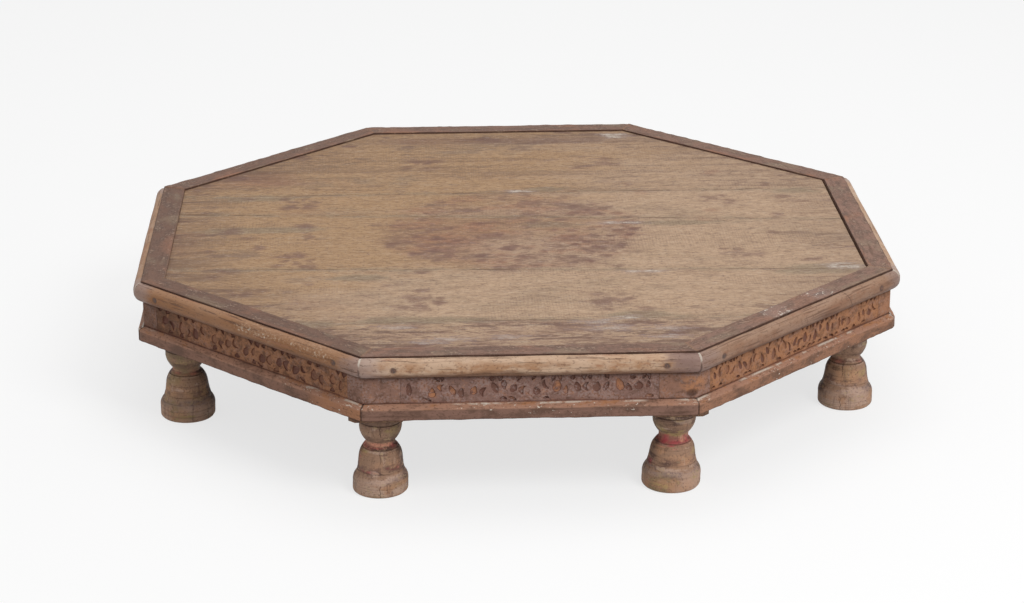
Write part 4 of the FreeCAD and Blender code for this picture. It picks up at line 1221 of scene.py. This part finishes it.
class TABLE_OT_base(bpy.types.Operator):
    """Lay the eight bevelled boards of the base frame"""
    bl_idname = "table.base"
    bl_label = "Base moulding"
    # How orange each board is
    tones = (0.6, 0.5, 0.2, 0.1, 0.1, 0.12, 0.0, 0.5)
    # Where three boards have pale specks, chalky dust and painted glints, in millimetres from their middles
    flecked_and_glinting_parts = {"base_moulding_diagonal_front_left": (60, 180), "base_moulding_front": (-77, 122),
                     "base_moulding_diagonal_front_right": (-102, 99)}
    corner_round = 16 * MM

    def execute(self, context):
        sizes = context.scene.table_sizes
        bevel_in = side_box("frieze_front", 6 * SIDE_TURN)[1].x
        for side, name, node, low, high in boards("base_moulding_"):
            corners = [(low.x, low.z), (high.x, low.z), (high.x, high.z - sizes.bevel_drop),
                       (bevel_in, high.z), (low.x, high.z)]
            square, lower, worn = (0, 0), (sizes.arris * 0.8, 2), (sizes.arris, 3)
            mesh = mitred_board(corners, [square, lower, worn, square, square],
                                sizes.mesh_step * 0.75, high.y, 3 * MM, self.corner_round)
            ends = self.flecked_and_glinting_parts.get(node)
            weather(mesh, sizes, node, self.tones[side], wave=1.0, chip=0.9,
                    flecked=lambda place: stretch(place.y, ends) if ends else 0)
            place_piece(context, mesh, "base_board_" + name, "base_wood", node, side * SIDE_TURN)
        return {"FINISHED"}


def leg_outline(node, centre):
    """A leg's outline from the floor up, as radius and height, read from the frame's own leg."""
    row_height = 0.1 * MM
    rows = {}
    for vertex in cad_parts[node].data.vertices:
        row = round(vertex.co.z / row_height)
        rows.setdefault(row, []).append((vertex.co.xy - centre).length)
    outline = []
    for row in sorted(rows):
        widest, narrowest = max(rows[row]), min(rows[row])
        outline.append((widest, row * row_height))
        if widest - narrowest > 5 * MM:
            outline.append((narrowest, row * row_height))
    return outline


class TABLE_OT_legs(bpy.types.Operator):
    """Turn the eight legs on the lathe: round foot, bell, neck and cup"""
    bl_idname = "table.legs"
    bl_label = "Turned legs"
    # How much red paint and how much olive film each leg has
    reds = (0.3, 0.5, 0.4, 0.3, 0.30, 0.55, 0.9, 0.35)
    olives = (0.3, 0.3, 0.3, 0.3, 0.35, 0.15, 0.25, 0.10)
    # Heights up a leg in millimetres, and where two of the hand-turned legs have them instead
    heights = (0, 14, 33, 59.5, 63.5, 104, 180)
    own_heights = {5: (0, 13, 29.5, 58, 62, 104, 180), 6: (0, 14, 33, 58, 65, 104, 180)}
    smear_kinds = ("crimson", "coral", "moss", "dirt", "pale", "tan")
    # Smears placed on a leg, kind by kind: degrees round it from the front, height in millimetres,
    # the reach of both, and strength; the dirt smears some 85 degrees to either side are painted shade on
    # the flanks
    smears = {
        5: {"coral": ((-22, 61.5, 48, 1.8, 1), (30, 61.5, 18, 1.8, 1)),
            "crimson": ((48, 60, 18, 3, 0.5), (-15, 58, 44, 1.2, 0.4), (26, 36, 38, 5, 0.45),
                        (-38, 33, 24, 4, 0.5), (-70, 45, 20, 10, 0.5)),
            "dirt": ((20, 35, 44, 5, 0.9), (-36, 31, 18, 3, 0.8), (84, 50, 30, 45, 1),
                     (-84, 30, 18, 30, 0.9), (10, 57, 70, 1.6, 0.7)),
            "pale": ((26, 27, 44, 3, 0.9), (0, 23, 28, 5, 0.8), (10, 9, 60, 7, 0.8),
                     (-16, 31, 10, 6, 0.8), (-16, 54, 26, 1, 1), (-26, 81, 14, 2, 0.8)),
            "moss": ((26, 80, 22, 3.5, 0.9), (-58, 53, 18, 3, 0.8), (-60, 21, 18, 4, 0.6)),
            "tan": ((-58, 48, 14, 8, 0.8), (55, 42, 18, 9, 0.7), (48, 17, 24, 4, 0.8))},
        6: {"crimson": ((-40, 59.5, 20, 4, 1.1), (0, 58, 28, 2.6, 1), (-12, 55, 22, 1.4, 0.8),
                        (44, 59.5, 15, 3.6, 0.9), (-72, 33, 24, 5, 0.6), (2, 52, 14, 1.6, 0.7)),
            "coral": ((34, 60, 18, 2.2, 0.9), (-40, 53, 28, 0.9, 0.9), (0, 51.5, 18, 0.9, 0.9)),
            "dirt": ((-66, 58, 18, 4.5, 1.1), (-70, 40, 24, 8, 1), (-22, 35, 32, 4.5, 0.9),
                     (-6, 79, 20, 6, 1), (20, 89, 90, 3, 0.9), (-60, 86, 30, 4, 0.9),
                     (86, 50, 22, 45, 0.9)),
            "pale": ((-6, 27, 50, 2.2, 0.9), (40, 29, 34, 2, 0.8), (24, 50, 22, 4, 0.8),
                     (28, 83, 28, 4, 0.8), (-28, 73, 12, 1.4, 1), (-40, 56, 22, 1.2, 0.9)),
            "moss": ((14, 70, 20, 2.8, 1), (-34, 70, 20, 2.8, 0.9), (-24, 12, 26, 5, 0.7),
                     (62, 46, 20, 8, 0.5), (54, 17, 26, 6, 0.5), (8, 64.5, 60, 1.6, 0.8)),
            "tan": ((-40, 47, 24, 4.5, 0.9), (28, 34, 28, 7, 0.9), (2, 42, 36, 9, 0.7),
                    (26, 79, 10, 2, 1), (-20, 12, 26, 5, 0.8))},
        7: {"pale": ((-10, 9, 70, 8, 1), (12, 25, 28, 6, 0.9)), "dirt": ((-50, 44, 26, 10, 0.7),)}}
    # Smears that every leg has but the two front ones: painted shade down both flanks, in the dirt kind, and
    # tan on the bell's front
    flanks = [("dirt", 84, 45, 24, 45, 1), ("dirt", -84, 40, 20, 40, 1), ("tan", 0, 42, 30, 8, 0.7)]
    drawn_count = 26
    # Where round each leg its crack is, in radians
    crack_turns = (0.4, 1.9, 3.0, 4.2, 0.9, -0.02, 2.4, -0.35)
    # How far each foot leans to the right in millimetres, below this height, and how thick it is
    leans = (0, 0, 0, 0, 0, -1.8, -2.8, 0)
    lean_height = 90 * MM
    girths = (1, 1, 1, 1, 1, 0.965, 1.02, 1)
    girth_height = 45 * MM
    ring_count = 80

    def smears_of(self, number):
        """A leg's smears: all given one by one on the two front legs, most drawn on the others."""
        placed = [(kind, *smear) for kind, rows in self.smears.get(number, {}).items() for smear in rows]
        if number in self.own_heights:
            return placed
        drawn = np.random.default_rng(4400 + number)
        return self.flanks + placed + [
            (self.smear_kinds[drawn.integers(2, 6)], drawn.uniform(-180, 180), drawn.uniform(8, 85),
             drawn.uniform(14, 34), drawn.uniform(1.5, 5.0), 0.8) for _ in range(self.drawn_count)]

    def mark_smears(self, mesh, number):
        """Write on each point how much of every kind of smear it carries."""
        brushed, stained = new_layers(mesh, vectors=["brushed", "stained"])
        places = np.array([vertex.co for vertex in mesh.verts])
        turns = np.degrees(np.arctan2(places[:, 0], -places[:, 1]))
        totals = np.zeros((len(self.smear_kinds), len(places)))
        for kind, turn, height, turn_reach, height_reach, strength in self.smears_of(number):
            away = (turns - turn + 180) % 360 - 180
            out = (away / turn_reach) ** 2 + ((places[:, 2] / MM - height) / height_reach) ** 2
            row = self.smear_kinds.index(kind)
            totals[row] = np.maximum(totals[row], np.exp(-0.8 * out) * strength)
        for vertex, shares in zip(mesh.verts, totals.T):
            vertex[brushed] = shares[:3]
            vertex[stained] = shares[3:]

    def turned_solid(self, outline):
        """Spin an outline round the z axis into a closed solid, with long edges cut shorter."""
        mesh = bmesh.new()
        points = [mesh.verts.new((radius, 0, up)) for radius, up in outline]
        edges = [mesh.edges.new(pair) for pair in zip(points, points[1:])]
        long_edges = [edge for edge in edges if edge.calc_length() > 2.5 * MM]
        for edge in long_edges:
            bmesh.ops.subdivide_edges(mesh, edges=[edge], cuts=int(edge.calc_length() / (2 * MM)))
        bmesh.ops.spin(mesh, geom=mesh.edges[:], cent=(0, 0, 0), axis=(0, 0, 1), angle=2 * math.pi,
                       steps=self.ring_count, use_merge=True, use_duplicate=False)
        bmesh.ops.remove_doubles(mesh, verts=mesh.verts[:], dist=MERGE_DISTANCE)
        bmesh.ops.recalc_face_normals(mesh, faces=mesh.faces[:])
        return mesh

    def age(self, mesh, node, number):
        """Make a leg uneven by hand turning and wear, and give it its own heights and lean."""
        board, stock = new_layers(mesh, vectors=["board", "stock"])
        self.mark_smears(mesh, number)
        mesh.normal_update()
        shift = Vector((number * 3.1, number * 1.7, 4.4))
        turn = Matrix.Rotation(-self.crack_turns[number], 3, "Z")
        own_heights = self.own_heights.get(number, self.heights)
        for vertex in mesh.verts:
            vertex[board] = turn @ vertex.co
            vertex[stock] = (LOTS[node], self.reds[number], self.olives[number])
            slow = noise.noise(vertex.co / (30 * MM) + shift) * 0.7
            ring = noise.noise(Vector((0.3, number, vertex.co.z / (2.2 * MM)))) * 0.16
            if vertex.co.z > 0.5 * MM:
                vertex.co += vertex.normal * (slow + ring - 0.25) * MM
            vertex.co.z = float(np.interp(vertex.co.z / MM, self.heights, own_heights)) * MM
            low_down = min(1.0, max(0.0, 1 - vertex.co.z / self.girth_height) * 1.6)
            vertex.co.xy *= 1 + (self.girths[number] - 1) * low_down
            vertex.co.x += self.leans[number] * MM * max(0.0, 1 - vertex.co.z / self.lean_height)

    def execute(self, context):
        for number, name in enumerate(CORNER_NAMES):
            node = "leg_" + name
            low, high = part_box(node)
            centre = (low.xy + high.xy) / 2
            mesh = self.turned_solid([(0.0, 0.0)] + leg_outline(node, centre) + [(0.0, high.z)])
            self.age(mesh, node, number)
            bmesh.ops.translate(mesh, verts=mesh.verts[:], vec=centre.to_3d())
            place_piece(context, mesh, "turned_leg_" + name, "leg_wood", node)
        return {"FINISHED"}


class TABLE_OT_underside(bpy.types.Operator):
    """Lay the two bearers under the base frame and the two battens under the planks"""
    bl_idname = "table.underside"
    bl_label = "Bearers and battens"

    def execute(self, context):
        sizes = context.scene.table_sizes
        for node in UNDERSIDE_NAMES:
            mesh = solid_of(node)
            round_edges(mesh, sizes.arris * 0.7, 8 * MM)
            cut_in_steps(mesh, 1, 8 * MM)
            cut_in_steps(mesh, 0, 6 * MM)
            weather(mesh, sizes, node, 0.0, wave=0.6)
            place_piece(context, mesh, "worn_" + node, "plain_wood", node)
        return {"FINISHED"}


class TABLE_OT_nails(bpy.types.Operator):
    """Rust the frame's own nails"""
    bl_idname = "table.nails"
    bl_label = "Nails"

    def execute(self, context):
        for node in ("nosing_nails", "frame_nails", "batten_nails"):
            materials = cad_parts[node].data.materials
            materials.clear()
            materials.append(finish_of("iron", context))
        return {"FINISHED"}


class TABLE_OT_stage(bpy.types.Operator):
    """Set the pale floor, the soft lamps and the camera"""
    bl_idname = "table.stage"
    bl_label = "Stage"
    camera_place = (-0.1421, -3.2277, 1.2507)
    camera_turns = (("Z", -2.52), ("X", 90 - 19.963), ("Z", -0.122))
    camera_lens = 95.56
    floor_reach = 30.0
    floor_glow = 0.72
    soft_strength = 0.55
    # Each lamp's name, place, size across and power
    lamps = (("key", (1.5, -2.2, 2.6), 1.6, 60.0), ("top", (0.2, 0.6, 3.4), 2.6, 32.0))
    aim = (0, 0, 0.15)

    def execute(self, context):
        scene = context.scene
        scene.view_settings.view_transform = "Standard"
        self.lay_floor(context)
        self.light_softly(context)
        self.hang_lamps(context)
        self.set_camera(context)
        return {"FINISHED"}

    def set_camera(self, context):
        data = bpy.data.cameras.new("camera")
        data.lens = self.camera_lens
        data.sensor_width = 36
        data.clip_end = 100
        camera = new_object(context, "camera", data)
        pose = Matrix.Translation(self.camera_place)
        for axis, degrees in self.camera_turns:
            pose = pose @ Matrix.Rotation(math.radians(degrees), 4, axis)
        camera.matrix_world = pose
        context.scene.camera = camera

    def seen_directly(self, tree):
        """1 for rays from the camera, a reflection or a pane, 0 for rays that carry soft light."""
        rays = tree.nodes.new("ShaderNodeLightPath")
        total = rays.outputs["Is Camera Ray"]
        for kind in ("Is Glossy Ray", "Is Transmission Ray"):
            either = tree.nodes.new("ShaderNodeMath")
            either.operation = "MAXIMUM"
            tree.links.new(total, either.inputs[0])
            tree.links.new(rays.outputs[kind], either.inputs[1])
            total = either.outputs[0]
        return total

    def brighten(self, tree, ordinary, bright, share, end):
        """Show a brighter shader, by its share, to rays that see it directly."""
        amount = tree.nodes.new("ShaderNodeMath")
        amount.operation = "MULTIPLY"
        amount.inputs[1].default_value = share
        mix = tree.nodes.new("ShaderNodeMixShader")
        for source, target in ((self.seen_directly(tree), amount.inputs[0]),
                               (amount.outputs[0], mix.inputs[0]),
                               (ordinary.outputs[0], mix.inputs[1]),
                               (bright.outputs[0], mix.inputs[2]),
                               (mix.outputs[0], tree.nodes[end].inputs[0])):
            tree.links.new(source, target)

    def lay_floor(self, context):
        mesh = bmesh.new()
        bmesh.ops.create_grid(mesh, x_segments=1, y_segments=1, size=self.floor_reach)
        data = bpy.data.meshes.new("floor")
        mesh.to_mesh(data)
        mesh.free()
        floor = new_object(context, "floor", data)
        material = bpy.data.materials.new("studio_floor")
        material.use_nodes = True
        tree = material.node_tree
        shader = tree.nodes["Principled BSDF"]
        for name, value in (("Base Color", context.scene.table_colours.floor), ("Roughness", 1.0),
                            ("Specular IOR Level", 0.0)):
            shader.inputs[name].default_value = value
        glow = tree.nodes.new("ShaderNodeEmission")
        self.brighten(tree, shader, glow, self.floor_glow, "Material Output")
        data.materials.append(material)

    def light_softly(self, context):
        world = bpy.data.worlds.new("studio")
        context.scene.world = world
        world.use_nodes = True
        tree = world.node_tree
        soft = tree.nodes["Background"]
        white = tree.nodes.new("ShaderNodeBackground")
        for background, strength in ((soft, self.soft_strength), (white, 1.0)):
            background.inputs["Color"].default_value = (1, 1, 1, 1)
            background.inputs["Strength"].default_value = strength
        self.brighten(tree, soft, white, 1.0, "World Output")

    def hang_lamps(self, context):
        for name, place, size, power in self.lamps:
            lamp = bpy.data.lights.new(name, "AREA")
            lamp.shape = "DISK"
            lamp.size = size
            lamp.energy = power
            towards = (Vector(self.aim) - Vector(place)).to_track_quat("-Z", "Y")
            holder = new_object(context, name, lamp)
            holder.matrix_world = Matrix.Translation(place) @ towards.to_matrix().to_4x4()


OPERATORS = (TABLE_OT_planks, TABLE_OT_border, TABLE_OT_nosing, TABLE_OT_friezes, TABLE_OT_posts,
             TABLE_OT_base, TABLE_OT_legs, TABLE_OT_underside, TABLE_OT_nails, TABLE_OT_stage)


class TABLE_PT_panel(bpy.types.Panel):
    """The table's pieces, sizes and colours"""
    bl_idname = "TABLE_PT_panel"
    bl_label = "Low Octagonal Table"
    bl_space_type = "VIEW_3D"
    bl_region_type = "UI"
    bl_category = "Table"

    def draw(self, context):
        for operator in OPERATORS:
            self.layout.operator(operator.bl_idname)
        for group in (context.scene.table_sizes, context.scene.table_colours):
            for name in group.bl_rna.properties.keys():
                if name not in ("rna_type", "name"):
                    self.layout.prop(group, name)


CLASSES = (TableSizes, TableColours) + OPERATORS + (TABLE_PT_panel,)


def register():
    for one in CLASSES:
        bpy.utils.register_class(one)
    bpy.types.Scene.table_sizes = bpy.props.PointerProperty(type=TableSizes)
    bpy.types.Scene.table_colours = bpy.props.PointerProperty(type=TableColours)


def unregister():
    del bpy.types.Scene.table_colours
    del bpy.types.Scene.table_sizes
    for one in reversed(CLASSES):
        bpy.utils.unregister_class(one)


def main():
    register()
    bpy.ops.table.planks()
    bpy.ops.table.border()
    bpy.ops.table.nosing()
    bpy.ops.table.friezes()
    bpy.ops.table.posts()
    bpy.ops.table.base()
    bpy.ops.table.legs()
    bpy.ops.table.underside()
    bpy.ops.table.nails()
    bpy.ops.table.stage()


if __name__ == "__main__":
    main()
